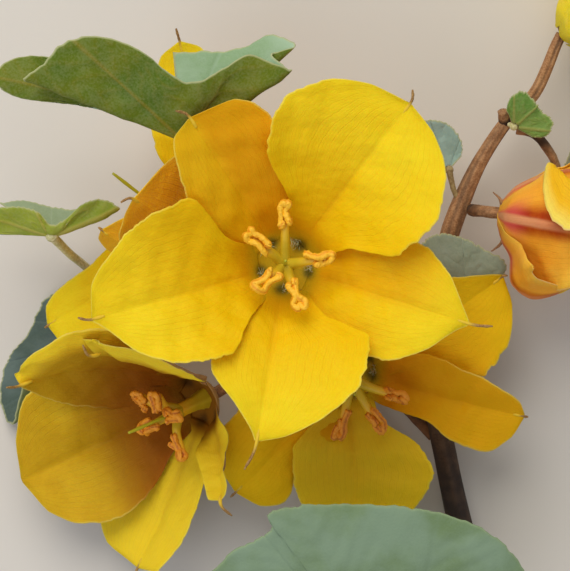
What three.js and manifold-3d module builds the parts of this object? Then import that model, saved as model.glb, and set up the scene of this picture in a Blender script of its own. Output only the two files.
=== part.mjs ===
// A flowering branch cut from a flannel bush, lying on its back with its flowers facing up.
// Millimetres, +Z up. The woody stem runs from its cut end, at -Y, to its tip, at +Y. Short felted twigs carry
// four open blooms, a fading one and a young one, each of five petal-like sepals joined into a cup round a
// column of stamens. Cupped, lobed leaves stand on stalks between them.

import * as THREE from "three";
import { mergeVertices } from "three/addons/utils/BufferGeometryUtils.js";
import Module from "manifold-3d";

const wasm = await Module();
wasm.setup();

// Driving dimensions
const clearance = 0.3; // between one piece and the piece that carries it
const finest = 0.16; // detail smaller than this is smoothed away
const sepalThickness = 0.7;
const leafThickness = 0.7;
const cupRadius = 4.6; // where the sepals part from the cup at a bloom's base
const sepalFoot = 4.2; // half-width of a sepal where it leaves the cup
const sepalPoint = 0.45; // half-width of a sepal where its tail begins
const hollowAtTip = 0.3; // a sepal is as hollow as its cup at its foot, and this share of that at its tip
const grooveDepth = 1; // of the groove along a sepal's midrib
const grooveWidth = 2.4;
const tailRadius = 0.38;
const columnRadius = 1.35;
const columnFoot = 1.25; // above a bloom's foot, clear of the cup's floor
const cupFloor = 1; // below a bloom's foot, where its stalk ends
const armRadius = 0.75;
const antherRadius = 0.85;
const stalkRadius = 0.8; // of a leaf's stalk
const knuckleRadius = 1.75; // where a leaf's stalk meets its blade
const bladeStart = 1.5; // from the middle of the knuckle to the start of the blade
const widthStations = [0, 0.2, 0.4, 0.6, 0.8, 0.95, 1]; // shares of a sepal's length where its width is given

// The branch is drawn round the middle of the front bloom. These move it so that the origin lies under the
// middle of its bounding box, on the surface that it rests on.
const footprintMiddle = [9.6, -4];
const restLevel = 0;

const colours = {
  bark: 0x8a6a4c,
  twig: 0xa8835f,
  sepal: 0xe3b70c,
  fading: 0xdd7a1c,
  stamen: 0xf0991c,
  leaf: 0x5d7a4a,
};

const point = ([x, y, z]) => new THREE.Vector3(x, y, z);
const radians = THREE.MathUtils.degToRad;
const lerp = THREE.MathUtils.lerp;

// Joining

function solidFrom(geometry) {
  const bare = new THREE.BufferGeometry();
  bare.setAttribute("position", geometry.getAttribute("position"));
  bare.setIndex(geometry.index);
  const merged = mergeVertices(bare, 1e-4);
  return new wasm.Manifold(
    new wasm.Mesh({
      numProp: 3,
      vertProperties: merged.attributes.position.array,
      triVerts: new Uint32Array(merged.index.array),
    }),
  );
}

// Joins overlapping closed geometries into one body. The outer shell of the largest piece is kept, which fills
// a hollow that the join sealed and drops a loose scrap.
function fuse(geometries) {
  const joined = geometries.map(solidFrom).reduce((sum, next) => sum.add(next));
  const shells = joined.decompose();
  const body = shells.reduce((best, next) => (next.volume() > best.volume() ? next : best));
  const mesh = body.simplify(finest).getMesh();
  const geometry = new THREE.BufferGeometry();
  geometry.setAttribute("position", new THREE.BufferAttribute(new Float32Array(mesh.vertProperties), 3));
  geometry.setIndex(new THREE.BufferAttribute(new Uint32Array(mesh.triVerts), 1));
  geometry.computeVertexNormals();
  return geometry;
}

// Curves and surfaces

// A smooth curve through values at the given stations, which never overshoots them.
function smoothThrough(stations, values) {
  const secants = stations.slice(1).map((s, i) => (values[i + 1] - values[i]) / (s - stations[i]));
  const slopes = values.map((_, i) => {
    const before = secants[Math.max(i - 1, 0)];
    const after = secants[Math.min(i, secants.length - 1)];
    return before * after > 0 ? (2 * before * after) / (before + after) : 0;
  });
  return (t) => {
    const above = stations.findIndex((s) => s > t);
    const i = above < 0 ? stations.length - 2 : Math.max(above - 1, 0);
    const span = stations[i + 1] - stations[i];
    const s = THREE.MathUtils.clamp((t - stations[i]) / span, 0, 1);
    return (
      values[i] * (1 + 2 * s) * (1 - s) ** 2 +
      values[i + 1] * s ** 2 * (3 - 2 * s) +
      span * (slopes[i] * s * (1 - s) ** 2 - slopes[i + 1] * s ** 2 * (1 - s))
    );
  };
}

// A value from a list spread evenly over 0 to 1.
function along(list, t) {
  const place = THREE.MathUtils.clamp(t, 0, 1) * (list.length - 1);
  const i = Math.min(Math.floor(place), list.length - 2);
  return lerp(list[i], list[i + 1], place - i);
}

// A round rod along a smooth path, its radius given by a list spread evenly over its length.
function limb(points, radii, sides, rows) {
  const path = new THREE.CatmullRomCurve3(points.map(point));
  const frames = path.computeFrenetFrames(rows);
  const centres = path.getSpacedPoints(rows);
  const geometry = new THREE.CylinderGeometry(1, 1, 1, sides, rows);
  const position = geometry.getAttribute("position");
  for (let i = 0; i < position.count; i += 1) {
    const row = Math.round((position.getY(i) + 0.5) * rows);
    const radius = along(radii, row / rows);
    const spot = centres[row]
      .clone()
      .addScaledVector(frames.normals[row], position.getX(i) * radius)
      .addScaledVector(frames.binormals[row], -position.getZ(i) * radius);
    position.setXYZ(i, spot.x, spot.y, spot.z);
  }
  return geometry;
}

// A thin plate bent to a surface given by u, from its foot to its tip, and v, from its left edge to its right.
function sheet(surface, rows, columns, thickness) {
  const geometry = new THREE.BoxGeometry(2, 1, 1, columns, rows, 1);
  const position = geometry.getAttribute("position");
  const step = 0.004;
  for (let i = 0; i < position.count; i += 1) {
    const v = position.getX(i);
    const u = position.getY(i) + 0.5;
    const across = surface(u, v + step).sub(surface(u, v - step));
    const onward = surface(u + step, v).sub(surface(u - step, v));
    const normal = across.cross(onward).normalize();
    const spot = surface(u, v).addScaledVector(normal, position.getZ(i) * thickness);
    position.setXYZ(i, spot.x, spot.y, spot.z);
  }
  return geometry;
}

// Blooms: a bloom stands on the origin of its own frame and opens along +Z.

// A sepal's midrib leaves the cup, heads for bend and ends at tip, both given as [out from the axis, up].
// left and right are its half-widths at the stations, lift raises its two margins, and twist rolls it about
// its midrib.
function sepalSurface({ turn, tip, bend, left, right, lift = [0, 0], twist = 0 }) {
  const outward = new THREE.Vector3(Math.cos(radians(turn)), Math.sin(radians(turn)), 0);
  const side = new THREE.Vector3(outward.y, -outward.x, 0);
  const leftWidth = smoothThrough(widthStations, [sepalFoot, ...left, sepalPoint]);
  const rightWidth = smoothThrough(widthStations, [sepalFoot, ...right, sepalPoint]);
  const reachAt = (u) => (1 - u) ** 2 * cupRadius + 2 * u * (1 - u) * bend[0] + u * u * tip[0];
  const riseAt = (u) => (1 - u) ** 2 * 2 + 2 * u * (1 - u) * bend[1] + u * u * tip[1];
  const midrib = (u) => new THREE.Vector3(0, 0, riseAt(u)).addScaledVector(outward, reachAt(u));
  return (u, v) => {
    const inside = THREE.MathUtils.clamp(u, 0, 1);
    const offset = Math.abs(v) * (v < 0 ? leftWidth(u) : rightWidth(u));
    const swell = Math.sin(Math.PI * inside);
    const onward = midrib(u + 0.01).sub(midrib(u - 0.01));
    const inward = side.clone().cross(onward).normalize();
    const hollow = ((offset * offset) / (2 * (reachAt(u) + 6))) * lerp(1, hollowAtTip, inside);
    const groove = grooveDepth * (1 - Math.exp(-offset / grooveWidth)) * Math.sqrt(swell);
    const height = hollow + groove + (v < 0 ? lift[0] : lift[1]) * v * v * swell ** 0.6;
    const roll = radians(twist) * THREE.MathUtils.smoothstep(inside, 0, 0.4);
    const aside = Math.sign(v) * offset;
    return midrib(u)
      .addScaledVector(side, aside * Math.cos(roll) - height * Math.sin(roll))
      .addScaledVector(inward, aside * Math.sin(roll) + height * Math.cos(roll));
  };
}

// The drawn-out tail of a sepal, which carries on from its tip and bends by turn degrees sideways and lift up.
function tail(surface, { length, turn = 0, lift = 0 }) {
  const root = surface(0.93, 0);
  const start = surface(1, 0);
  const onward = start.clone().sub(root).normalize();
  const side = surface(1, 1).sub(surface(1, -1)).normalize();
  const inward = side.clone().cross(onward);
  const headed = onward
    .clone()
    .multiplyScalar(Math.cos(radians(turn)))
    .addScaledVector(side, Math.sin(radians(turn)))
    .addScaledVector(inward, Math.tan(radians(lift)))
    .normalize();
  const middle = start.clone().addScaledVector(onward, length * 0.25).addScaledVector(headed, length * 0.15);
  const end = middle.clone().addScaledVector(headed, length * 0.6);
  const path = [root, start, middle, end].map((spot) => spot.toArray());
  return limb(path, [tailRadius * 1.3, tailRadius, tailRadius * 0.7], 4, 3);
}

function cup(segments) {
  const profile = [
    [0, -cupFloor],
    [1.8, -cupFloor],
    [4.4, 0.5],
    [7, 3.6],
    [6.5, 4],
    [3.8, 1.4],
    [0, 0.3],
  ];
  const turned = new THREE.LatheGeometry(profile.map(([r, z]) => new THREE.Vector2(r, z)), segments);
  return turned.rotateX(Math.PI / 2);
}

function calyx(sepals, [rows, columns]) {
  const plates = sepals.flatMap((sepal) => {
    const surface = sepalSurface(sepal);
    return [sheet(surface, rows, columns, sepalThickness), tail(surface, sepal.tail)];
  });
  return fuse([cup(2 * rows), ...plates]);
}

// Each arm leaves the top of the column at its own turn and reaches out and up to its anther, which is bent
// over the arm's end like a hairpin. The style stands in the middle, as [length, turn, lean].
function stamens({ height, arms, style }) {
  const waist = [columnRadius * 1.5, columnRadius, columnRadius * 1.1];
  const column = limb([[0, 0, columnFoot], [0, 0, height / 2], [0, 0, height]], waist, 6, 2);
  const limbs = arms.flatMap(([turn, reach, rise]) => {
    const out = new THREE.Vector3(Math.cos(radians(turn)), Math.sin(radians(turn)), 0);
    const side = new THREE.Vector3(-out.y, out.x, 0);
    const at = (r, s, z) => out.clone().multiplyScalar(r).addScaledVector(side, s).setZ(height + z).toArray();
    const filament = [at(0, 0, -0.8), at(reach * 0.45, 0, rise * 0.6), at(reach - 1.2, 0, rise)];
    const anther = [
      at(reach - 4, 1.7, rise * 0.8),
      at(reach - 2, 1.3, rise + 0.5),
      at(reach, 0.7, rise + 0.8),
      at(reach, -0.8, rise + 0.6),
      at(reach - 2.4, -1.4, rise + 0.1),
    ];
    const swell = [0.8, 1, 1, 1.1, 0.8].map((factor) => factor * antherRadius);
    return [limb(filament, [armRadius * 1.2, armRadius], 4, 2), limb(anther, swell, 4, 5)];
  });
  const [length, turn, lean] = style;
  const leaning = (share) => [
    Math.cos(radians(turn)) * lean * share,
    Math.sin(radians(turn)) * lean * share,
    height - 1 + (length + 1) * share,
  ];
  return fuse([column, ...limbs, limb([0, 0.5, 1].map(leaning), [0.5, 0.35, 0.3], 4, 3)]);
}

// A bloom in its place on the branch.
function bloom({ name, foot, facing, sepals, column, colour = colours.sepal, grid = [5, 4] }) {
  const group = new THREE.Group();
  group.position.copy(point(foot));
  group.quaternion.setFromUnitVectors(new THREE.Vector3(0, 0, 1), point(facing).normalize());
  group.add(named(`${name}_calyx`, calyx(sepals, grid), colour));
  group.add(named(`${name}_stamens`, stamens(column), colours.stamen));
  return group;
}

// Leaves: a blade is a fan from the end of its stalk to a rim of points, given in order round its edge, with the
// gap at its base between the last and the first. bulge swells it away from its straight ribs, and bow bends the
// ribs near its first margin.
function bladeSurface({ base, rim, bulge = 0, bow = [0, 0, 0] }) {
  const root = point(base);
  const edge = new THREE.CatmullRomCurve3(rim.map(point), false, "centripetal");
  const rib = (v) => edge.getPoint(THREE.MathUtils.clamp((v + 1) / 2, 0, 1)).sub(root);
  return (u, v) => {
    const across = rib(v + 0.02).sub(rib(v - 0.02));
    const outward = across.cross(rib(v)).normalize();
    const arch = 4 * u * (1 - u);
    return root
      .clone()
      .addScaledVector(rib(v), u)
      .addScaledVector(outward, bulge * arch * (1 - v * v))
      .addScaledVector(point(bow), arch * Math.max(-v, 0));
  };
}

function leaf({ name, base, stalk, grid = [2, 12], ...shape }) {
  const surface = bladeSurface({ base, ...shape });
  const start = (v) => bladeStart / surface(1, v).distanceTo(point(base));
  const blade = sheet((u, v) => surface(lerp(start(v), 1, u), v), ...grid, leafThickness);
  const knuckle = new THREE.SphereGeometry(knuckleRadius, 6, 4).translate(...base);
  const stem = limb([...stalk, base], [stalkRadius * 0.9, stalkRadius, stalkRadius * 1.2], 5, 5);
  return named(name, fuse([blade, knuckle, stem]), colours.leaf);
}

// Wood: each limb of a twig is [path, radii, sides, rows].
function wood({ name, limbs, colour = colours.twig }) {
  return named(name, fuse(limbs.map((args) => limb(...args))), colour);
}

function named(name, geometry, colour) {
  const material = new THREE.MeshStandardMaterial({ color: colour, roughness: 0.8, metalness: 0 });
  const mesh = new THREE.Mesh(geometry, material);
  mesh.name = name;
  return mesh;
}

const blooms = [
  {
    name: "bloom_front",
    foot: [0, 3.8, 30],
    facing: [0, 0, 1],
    grid: [7, 6],
    column: {
      height: 8,
      arms: [
        [90, 11, 3],
        [140, 8.6, 3],
        [223, 6.4, 3],
        [290, 8, 3],
        [8, 8.6, 3],
      ],
      style: [5, 80, 0.6],
    },
    sepals: [
      {
        turn: 52, tip: [35.8, 16], bend: [20, 15], tail: { length: 2.6, turn: -38 }, lift: [2.2, 2.2],
        left: [6, 15, 17.8, 15, 7.8], right: [7, 14.8, 16.2, 13.2, 6.6],
      },
      {
        turn: 342, tip: [33, 15], bend: [18, 12], tail: { length: 5.6, turn: -15 }, lift: [-1.2, -1.2],
        left: [7.6, 11, 10.9, 7.6, 2.2], right: [7.6, 10.9, 10.9, 7.4, 1.8],
      },
      {
        turn: 261, tip: [31.6, 15], bend: [17, 13], tail: { length: 5.6, turn: 20 }, lift: [1.6, -1],
        left: [8, 17, 16.6, 11.4, 4.9], right: [7.6, 10.6, 10.2, 4.8, 1.2],
      },
      {
        turn: 196, tip: [35.4, 15], bend: [19, 14], tail: { length: 2.6, turn: 30 }, lift: [1.8, 2],
        left: [7.4, 12.9, 12, 8.3, 2], right: [7.3, 15.8, 15.5, 12, 7.4],
      },
      {
        turn: 123, tip: [30.6, 17], bend: [16, 13], tail: { length: 3.2, turn: -40, lift: 15 }, lift: [-0.6, -0.6],
        left: [7, 9.7, 9.2, 8, 5], right: [7, 10.6, 12.4, 11.8, 8.6],
      },
    ],
  },
  {
    name: "bloom_nodding",
    foot: [-14.6, -21, 13],
    facing: [-0.72, -0.34, 0.6],
    column: {
      height: 9,
      arms: [
        [80, 6, 3],
        [140, 7, 3],
        [210, 6, 3],
        [300, 8, 2],
        [20, 6, 2],
      ],
      style: [10, 180, 1],
    },
    sepals: [
      {
        turn: 92, tip: [19.3, 23.4], bend: [16, 11], tail: { length: 3.4, lift: -65 }, lift: [0.6, 0.6],
        left: [7, 10, 11, 9, 4], right: [7, 12, 12.5, 9, 4],
      },
      {
        turn: 140, tip: [18.6, 31.4], bend: [18, 13], tail: { length: 4, turn: 28 }, lift: [0.6, 0.6],
        left: [7, 9, 8.5, 6, 2], right: [7, 9, 9.5, 8.5, 5],
      },
      {
        turn: 204, tip: [24.6, 30.3], bend: [20, 12], tail: { length: 1.4 }, lift: [1, 1],
        left: [8, 12.5, 14, 12.5, 7.5], right: [8, 13.5, 15.5, 14.5, 7.6],
      },
      {
        turn: 261, tip: [29.6, 20.4], bend: [18, 11], tail: { length: 1.4 }, lift: [-0.8, -0.8],
        left: [7, 8, 8.5, 6.5, 4], right: [7, 13, 14.5, 13, 9],
      },
      {
        turn: 320, tip: [19.6, 13], bend: [15, 8], tail: { length: 4.2, turn: -40, lift: -65 }, lift: [0.6, 5],
        left: [7, 6, 3.6, 2, 1.2], right: [7, 8.6, 7.4, 5.6, 3.6],
      },
    ],
  },
  {
    name: "bloom_low",
    foot: [12.1, -15.8, 9],
    facing: [0.05, -0.25, 0.96],
    column: {
      height: 9,
      arms: [
        [345, 10, 2],
        [302, 10, 2],
        [256, 10, 2],
        [190, 6, 2],
        [100, 6, 2],
      ],
      style: [5, 280, 1],
    },
    sepals: [
      {
        turn: 34, tip: [33.5, 5], bend: [18, 9], tail: { length: 1, turn: 40 }, lift: [0.5, 0.5],
        left: [7, 11, 11, 9.5, 5], right: [7, 11, 11, 11.5, 10],
      },
      {
        turn: 349, tip: [33, 11.6], bend: [18, 10], tail: { length: 0.8 }, lift: [1, 1],
        left: [7, 10, 10, 6.5, 3], right: [7, 6.5, 7.6, 8, 4.4],
      },
      {
        turn: 272, tip: [29, 10], bend: [16, 8], tail: { length: 2 }, lift: [0.5, 0.5],
        left: [7.5, 13, 15, 12.5, 8], right: [7, 11.5, 11.5, 10, 6],
      },
      {
        turn: 224, tip: [30.4, 10.6], bend: [16, 9], tail: { length: 1.4 }, lift: [-0.6, -2.4],
        left: [7, 7, 5.6, 8, 5.4], right: [7, 8.6, 9.8, 9.8, 6.4],
      },
      {
        turn: 130, tip: [12, 17], bend: [14, 5], tail: { length: 1.4 }, lift: [0.5, 0.5],
        left: [7, 8, 8, 7, 3], right: [7, 8, 8, 7, 3],
      },
    ],
  },
  {
    name: "bloom_upper",
    foot: [-15.1, 7.7, 15],
    facing: [-0.74, 0.58, 0.3],
    column: {
      height: 9,
      arms: [
        [20, 6, 3],
        [90, 6, 3],
        [165, 6, 3],
        [240, 6, 3],
        [305, 6, 3],
      ],
      style: [14, 320, 2],
    },
    sepals: [
      {
        turn: 55, tip: [26.9, 27.6], bend: [16, 12], twist: -50, tail: { length: 2.6 }, lift: [0.5, 0.5],
        left: [7, 8.6, 9, 7, 4.4], right: [7, 8.6, 9, 7, 4.4],
      },
      {
        turn: 318, tip: [19, 21], bend: [14, 10], tail: { length: 2.8, turn: 20 }, lift: [0.5, 0.5],
        left: [7, 12.5, 14, 12.5, 7], right: [7, 9, 8, 6, 2],
      },
      {
        turn: 277, tip: [13.3, 19.4], bend: [13, 8], tail: { length: 0.8 }, lift: [0.5, 0.5],
        left: [7, 8, 8, 7, 4], right: [7, 7, 6, 5, 3],
      },
      {
        turn: 217, tip: [31.7, 12.3], bend: [17, 8], twist: 45, tail: { length: 0.8 }, lift: [0.5, 0.5],
        left: [7, 8, 8.4, 8, 6.6], right: [7, 7, 5.6, 5.2, 3.6],
      },
      {
        turn: 141, tip: [14, 11], bend: [13, 5], tail: { length: 1 }, lift: [0.5, 0.5],
        left: [7, 9, 9, 7, 3], right: [7, 9, 9, 7, 3],
      },
    ],
  },
  {
    name: "bloom_fading",
    foot: [41.3, 13.4, 18],
    facing: [1, -0.24, 0.15],
    colour: colours.fading,
    grid: [4, 4],
    column: {
      height: 9,
      arms: [
        [20, 7, 3],
        [90, 7, 3],
        [165, 7, 3],
        [240, 7, 3],
        [305, 7, 3],
      ],
      style: [6, 0, 1],
    },
    sepals: [
      {
        turn: 180, tip: [11, 27], bend: [16, 10], tail: { length: 2 }, lift: [0.5, 0.5],
        left: [6, 8, 9, 8, 4], right: [6, 8, 9, 8, 4],
      },
      {
        turn: 108, tip: [12, 24], bend: [16, 8], tail: { length: 2 }, lift: [0.5, 0.5],
        left: [6, 8, 9, 8, 4], right: [6, 8, 9, 8, 4],
      },
      {
        turn: 36, tip: [11, 26], bend: [15, 9], tail: { length: 2 }, lift: [0.5, 0.5],
        left: [6, 8, 9, 8, 4], right: [6, 8, 9, 8, 4],
      },
      {
        turn: 252, tip: [14, 24], bend: [18, 8], tail: { length: 2 }, lift: [0.5, 0.5],
        left: [6, 8, 9, 8, 4], right: [6, 8, 9, 8, 4],
      },
      {
        turn: 324, tip: [12, 26], bend: [15, 9], tail: { length: 2 }, lift: [0.5, 0.5],
        left: [6, 8, 9, 8, 4], right: [6, 8, 9, 8, 4],
      },
    ],
  },
  {
    name: "bloom_young",
    foot: [53.6, 48.4, 10.7],
    facing: [0.8, 0.45, 0.3],
    grid: [4, 4],
    column: {
      height: 7,
      arms: [
        [20, 6.4, 3],
        [90, 6.4, 3],
        [165, 6.4, 3],
        [240, 6.4, 3],
        [305, 6.4, 3],
      ],
      style: [5, 0, 1],
    },
    sepals: [
      {
        turn: 150, tip: [21, 13], bend: [13, 8], tail: { length: 2 }, lift: [0.5, 0.5],
        left: [6, 8, 9, 8, 4], right: [6, 8, 9, 8, 4],
      },
      {
        turn: 222, tip: [21, 12], bend: [13, 8], tail: { length: 2 }, lift: [0.5, 0.5],
        left: [6, 8, 9, 8, 4], right: [6, 8, 9, 8, 4],
      },
      {
        turn: 294, tip: [18, 16], bend: [13, 8], tail: { length: 2 }, lift: [0.5, 0.5],
        left: [6, 8, 9, 8, 4], right: [6, 8, 9, 8, 4],
      },
      {
        turn: 6, tip: [16, 18], bend: [13, 8], tail: { length: 2 }, lift: [0.5, 0.5],
        left: [6, 8, 9, 8, 4], right: [6, 8, 9, 8, 4],
      },
      {
        turn: 78, tip: [18, 16], bend: [13, 8], tail: { length: 2 }, lift: [0.5, 0.5],
        left: [6, 8, 9, 8, 4], right: [6, 8, 9, 8, 4],
      },
    ],
  },
];

const leaves = [
  {
    name: "leaf_upper_left",
    base: [-19, 26, 41.5],
    rim: [
      [-43, 32.5, 46],
      [-48, 33.5, 47],
      [-51.4, 36.1, 48],
      [-47.4, 40.4, 47],
      [-40.9, 39.6, 47],
      [-38.8, 42, 50],
      [-32.7, 43.2, 51],
      [-25, 40.8, 50],
      [-19.1, 36.4, 48],
      [-15.6, 35.6, 47.5],
      [-11.1, 38, 46.5],
      [-6.2, 40.6, 45.5],
      [1.2, 38, 44],
      [2.1, 42.5, 41],
      [-2.3, 45.2, 38],
      [-8, 43.6, 37],
      [-20.2, 42, 36],
    ],
    bulge: 0.8,
    bow: [0.4, 1.7, 0],
    stalk: [
      [-0.5, 4.2, 19.6],
      [-3.4, 7.4, 25],
      [-9, 14, 33],
      [-15.4, 22, 38],
    ],
    grid: [3, 26],
  },
  {
    name: "leaf_left",
    base: [-43.2, 9.2, 24],
    rim: [
      [-52.8, 9.5, 24],
      [-58.3, 10.7, 24],
      [-56.6, 13.9, 26],
      [-52.4, 14.4, 27],
      [-48.7, 14.4, 27],
      [-45.4, 13.5, 27],
      [-43.2, 11.2, 26],
      [-40.7, 12.1, 26],
      [-36.8, 15.2, 27],
      [-33.4, 15.8, 26],
      [-30.5, 14.3, 25],
      [-34, 15, 22],
      [-40.1, 14.2, 21],
      [-45, 15, 19],
      [-49.7, 15.9, 18],
      [-53.5, 15.3, 18],
    ],
    bulge: 0.6,
    stalk: [
      [-6.6, 1.2, 9.6],
      [-25, 0.6, 6],
      [-35.6, 2, 6],
      [-39.6, 4.8, 9.6],
    ],
    grid: [2, 22],
  },
  {
    name: "leaf_lower_left",
    base: [-30, -9, 8.4],
    rim: [
      [-35.8, -5.6, 12],
      [-42.5, -11.1, 12.4],
      [-49.5, -18.2, 10.6],
      [-53, -27, 3.6],
      [-55.4, -23.2, 0.8],
      [-55.2, -18.3, 0.4],
      [-53.9, -14.1, 0.4],
      [-50.2, -9.6, 0.6],
      [-48.4, -5.7, 0.8],
      [-45.9, -2, 1.6],
      [-38, -1, 3],
      [-30, -3, 4],
    ],
    bulge: -0.6,
    stalk: [
      [-4.1, -11.6, 7],
      [-12, -9, 5.4],
      [-20, -8.6, 5.6],
    ],
    grid: [2, 18],
  },
  {
    name: "leaf_foreground",
    base: [21, -74, 26],
    rim: [
      [2, -76, 26],
      [-12, -66, 28],
      [-15.5, -57.5, 30],
      [-10.9, -49.7, 34],
      [-4.1, -45, 36],
      [2.7, -40.3, 38],
      [9.9, -39.2, 38],
      [20.6, -39.6, 38],
      [29.7, -41.4, 37],
      [37.5, -45, 36],
      [43.4, -51.7, 34],
      [46.6, -61.1, 31],
      [42, -74, 28],
    ],
    bulge: 2,
    stalk: [
      [36.1, -66.7, 5.3],
      [30, -69, 14],
    ],
    grid: [4, 14],
  },
  {
    name: "leaf_right",
    base: [34, -2.4, 15.2],
    rim: [
      [29, -2, 15.8],
      [26, 2, 16.6],
      [25.6, 7.6, 17],
      [28.8, 9.7, 17],
      [33.4, 9, 16.2],
      [37.1, 7.1, 16],
      [41.7, 4.1, 15.6],
      [40.6, 0.6, 15.2],
      [38, -3, 15],
    ],
    bulge: 0.4,
    stalk: [[32.3, -7.4, 12.4]],
  },
  {
    name: "leaf_behind",
    base: [31.1, 21.9, 14],
    rim: [
      [33.4, 24.4, 14.6],
      [33.4, 27, 15],
      [30.9, 30.3, 16],
      [27.3, 31.1, 17],
      [23.1, 29.9, 18],
      [22, 26.2, 18],
      [25, 22.7, 17],
    ],
    bulge: 0.4,
    stalk: [
      [31.2, 16.6, 12.8],
      [31.2, 19, 13],
    ],
  },
  {
    name: "leaf_joint",
    base: [43.2, 30, 15.6],
    rim: [
      [41.6, 33, 16.6],
      [42.3, 35.2, 18],
      [44.4, 36.4, 19],
      [46.7, 34.8, 18],
      [48.2, 32.9, 17],
      [50.5, 30.9, 16.4],
      [49.4, 28.2, 15.6],
      [46.6, 28, 15.4],
    ],
    bulge: 0.3,
    stalk: [[42.5, 30.5, 13.9]],
  },
  {
    name: "leaf_edge",
    base: [54.4, 20.4, 9.4],
    rim: [
      [53.2, 23, 12],
      [55.4, 27.6, 14],
      [60, 26.2, 14],
      [63, 21.2, 12],
      [60, 17, 9],
      [56, 17, 8],
    ],
    bulge: 0.4,
    stalk: [[53.7, 22.6, 9]],
  },
];

// The last two points of the stalk of a bloom, which meets the middle of its cup squarely.
function stalkEnd(name) {
  const { foot, facing } = blooms.find((each) => each.name === name);
  const axis = point(facing).normalize();
  return [3.6, cupFloor + clearance + 0.05].map((away) => point(foot).addScaledVector(axis, -away).toArray());
}

const stemPath = [
  [39.7, -78.8, 2.5],
  [36, -55.3, 3.4],
  [32.8, -41.4, 5.2],
  [31, -33.6, 6.8],
  [29.5, -26.7, 8.4],
  [29.2, -18.1, 10],
  [29.6, -6.6, 11],
  [30.6, 6.8, 12],
  [33.3, 15.3, 12],
  [37.3, 23.9, 12],
  [41.9, 30.7, 12],
  [47.4, 36.4, 10.4],
];

const twigs = [
  {
    name: "main_stem",
    colour: colours.bark,
    limbs: [
      [[...stemPath, ...stalkEnd("bloom_young")], [2.5, 2.4, 2.4, 2.3, 2.2, 2, 1.9, 1.7, 1.4, 1.2, 1], 12, 18],
      [[[41.9, 30.7, 12], [41.2, 33, 14]], [1.2, 1], 6, 1],
    ],
  },
  {
    name: "twig_left",
    limbs: [
      [[[26.9, -8, 10.6], [16, -4.5, 9], [4, -1, 9], ...stalkEnd("bloom_front")], [1.5, 1.4, 1.3, 1.2, 1.1], 8, 12],
      [[[6, -1.8, 9], [-2, -12, 7], ...stalkEnd("bloom_nodding")], [1.2, 1.1, 1.1], 6, 7],
      [[[2, 0.6, 10.4], [-6, 3, 10.6], ...stalkEnd("bloom_upper")], [1.2, 1.1, 1.1], 6, 5],
    ],
  },
  {
    name: "stalk_low",
    limbs: [[[[26.7, -21.1, 8.5], [20, -19, 4.6], [14, -16, 3.6], ...stalkEnd("bloom_low")], [1.2, 1.1, 1.1], 6, 7]],
  },
  {
    name: "stalk_fading",
    limbs: [[[[35.5, 14.3, 12.9], ...stalkEnd("bloom_fading")], [1.2, 1.1, 1.1], 6, 5]],
  },
  {
    name: "twig_right",
    limbs: [[[[44.1, 29.7, 12.2], [47, 29, 12.6], [50, 26.2, 11], [52.2, 22.5, 8], [53, 19, 6]], [1.1, 1, 0.9, 0.8], 6, 8]],
  },
];

const branch = new THREE.Group();
branch.add(...twigs.map(wood), ...blooms.map(bloom), ...leaves.map(leaf));
branch.position.set(-footprintMiddle[0], -footprintMiddle[1], -restLevel);

const part = new THREE.Group();
part.add(branch);
export default part;
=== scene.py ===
import math

import bpy
import numpy as np
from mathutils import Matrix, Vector


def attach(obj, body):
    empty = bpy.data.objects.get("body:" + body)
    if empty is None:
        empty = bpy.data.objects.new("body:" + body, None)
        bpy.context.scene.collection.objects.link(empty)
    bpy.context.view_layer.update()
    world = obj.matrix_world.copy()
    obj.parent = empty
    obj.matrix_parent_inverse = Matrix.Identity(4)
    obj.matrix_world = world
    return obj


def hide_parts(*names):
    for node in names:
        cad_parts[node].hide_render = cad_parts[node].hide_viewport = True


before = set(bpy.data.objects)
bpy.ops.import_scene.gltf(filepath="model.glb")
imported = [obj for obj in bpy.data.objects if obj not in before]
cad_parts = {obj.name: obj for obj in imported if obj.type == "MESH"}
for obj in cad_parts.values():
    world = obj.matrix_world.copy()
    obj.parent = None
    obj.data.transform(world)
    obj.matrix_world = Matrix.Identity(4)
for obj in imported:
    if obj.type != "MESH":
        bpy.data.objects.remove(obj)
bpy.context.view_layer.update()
scene = bpy.context.scene

# Camera. It looks straight down on the lying branch, over the middle of the front bloom, as the photograph
# looks at that bloom from in front. The photograph is 570 pixels wide, and at the height of the front
# bloom's sepals one of them covers 0.176 mm.
mm = 0.001
front_middle = np.array([-9.6, 4.0, 0.0])  # of the frame, from which every place below is given, in mm
camera_height = 466.0
sepal_height = 46.0
pixel_at_sepals = 0.176
photo_width = 570
sensor_width = 36.0

camera_data = bpy.data.cameras.new("camera")
camera_data.sensor_fit = "HORIZONTAL"
camera_data.sensor_width = sensor_width
camera_data.lens = sensor_width * (camera_height - sepal_height) / (photo_width * pixel_at_sepals)
camera_data.clip_start = 0.01
camera = bpy.data.objects.new("camera", camera_data)
camera.location = (front_middle + [0, 0, camera_height]) * mm
scene.collection.objects.link(camera)
scene.camera = camera
scene.view_settings.view_transform = "Standard"

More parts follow.
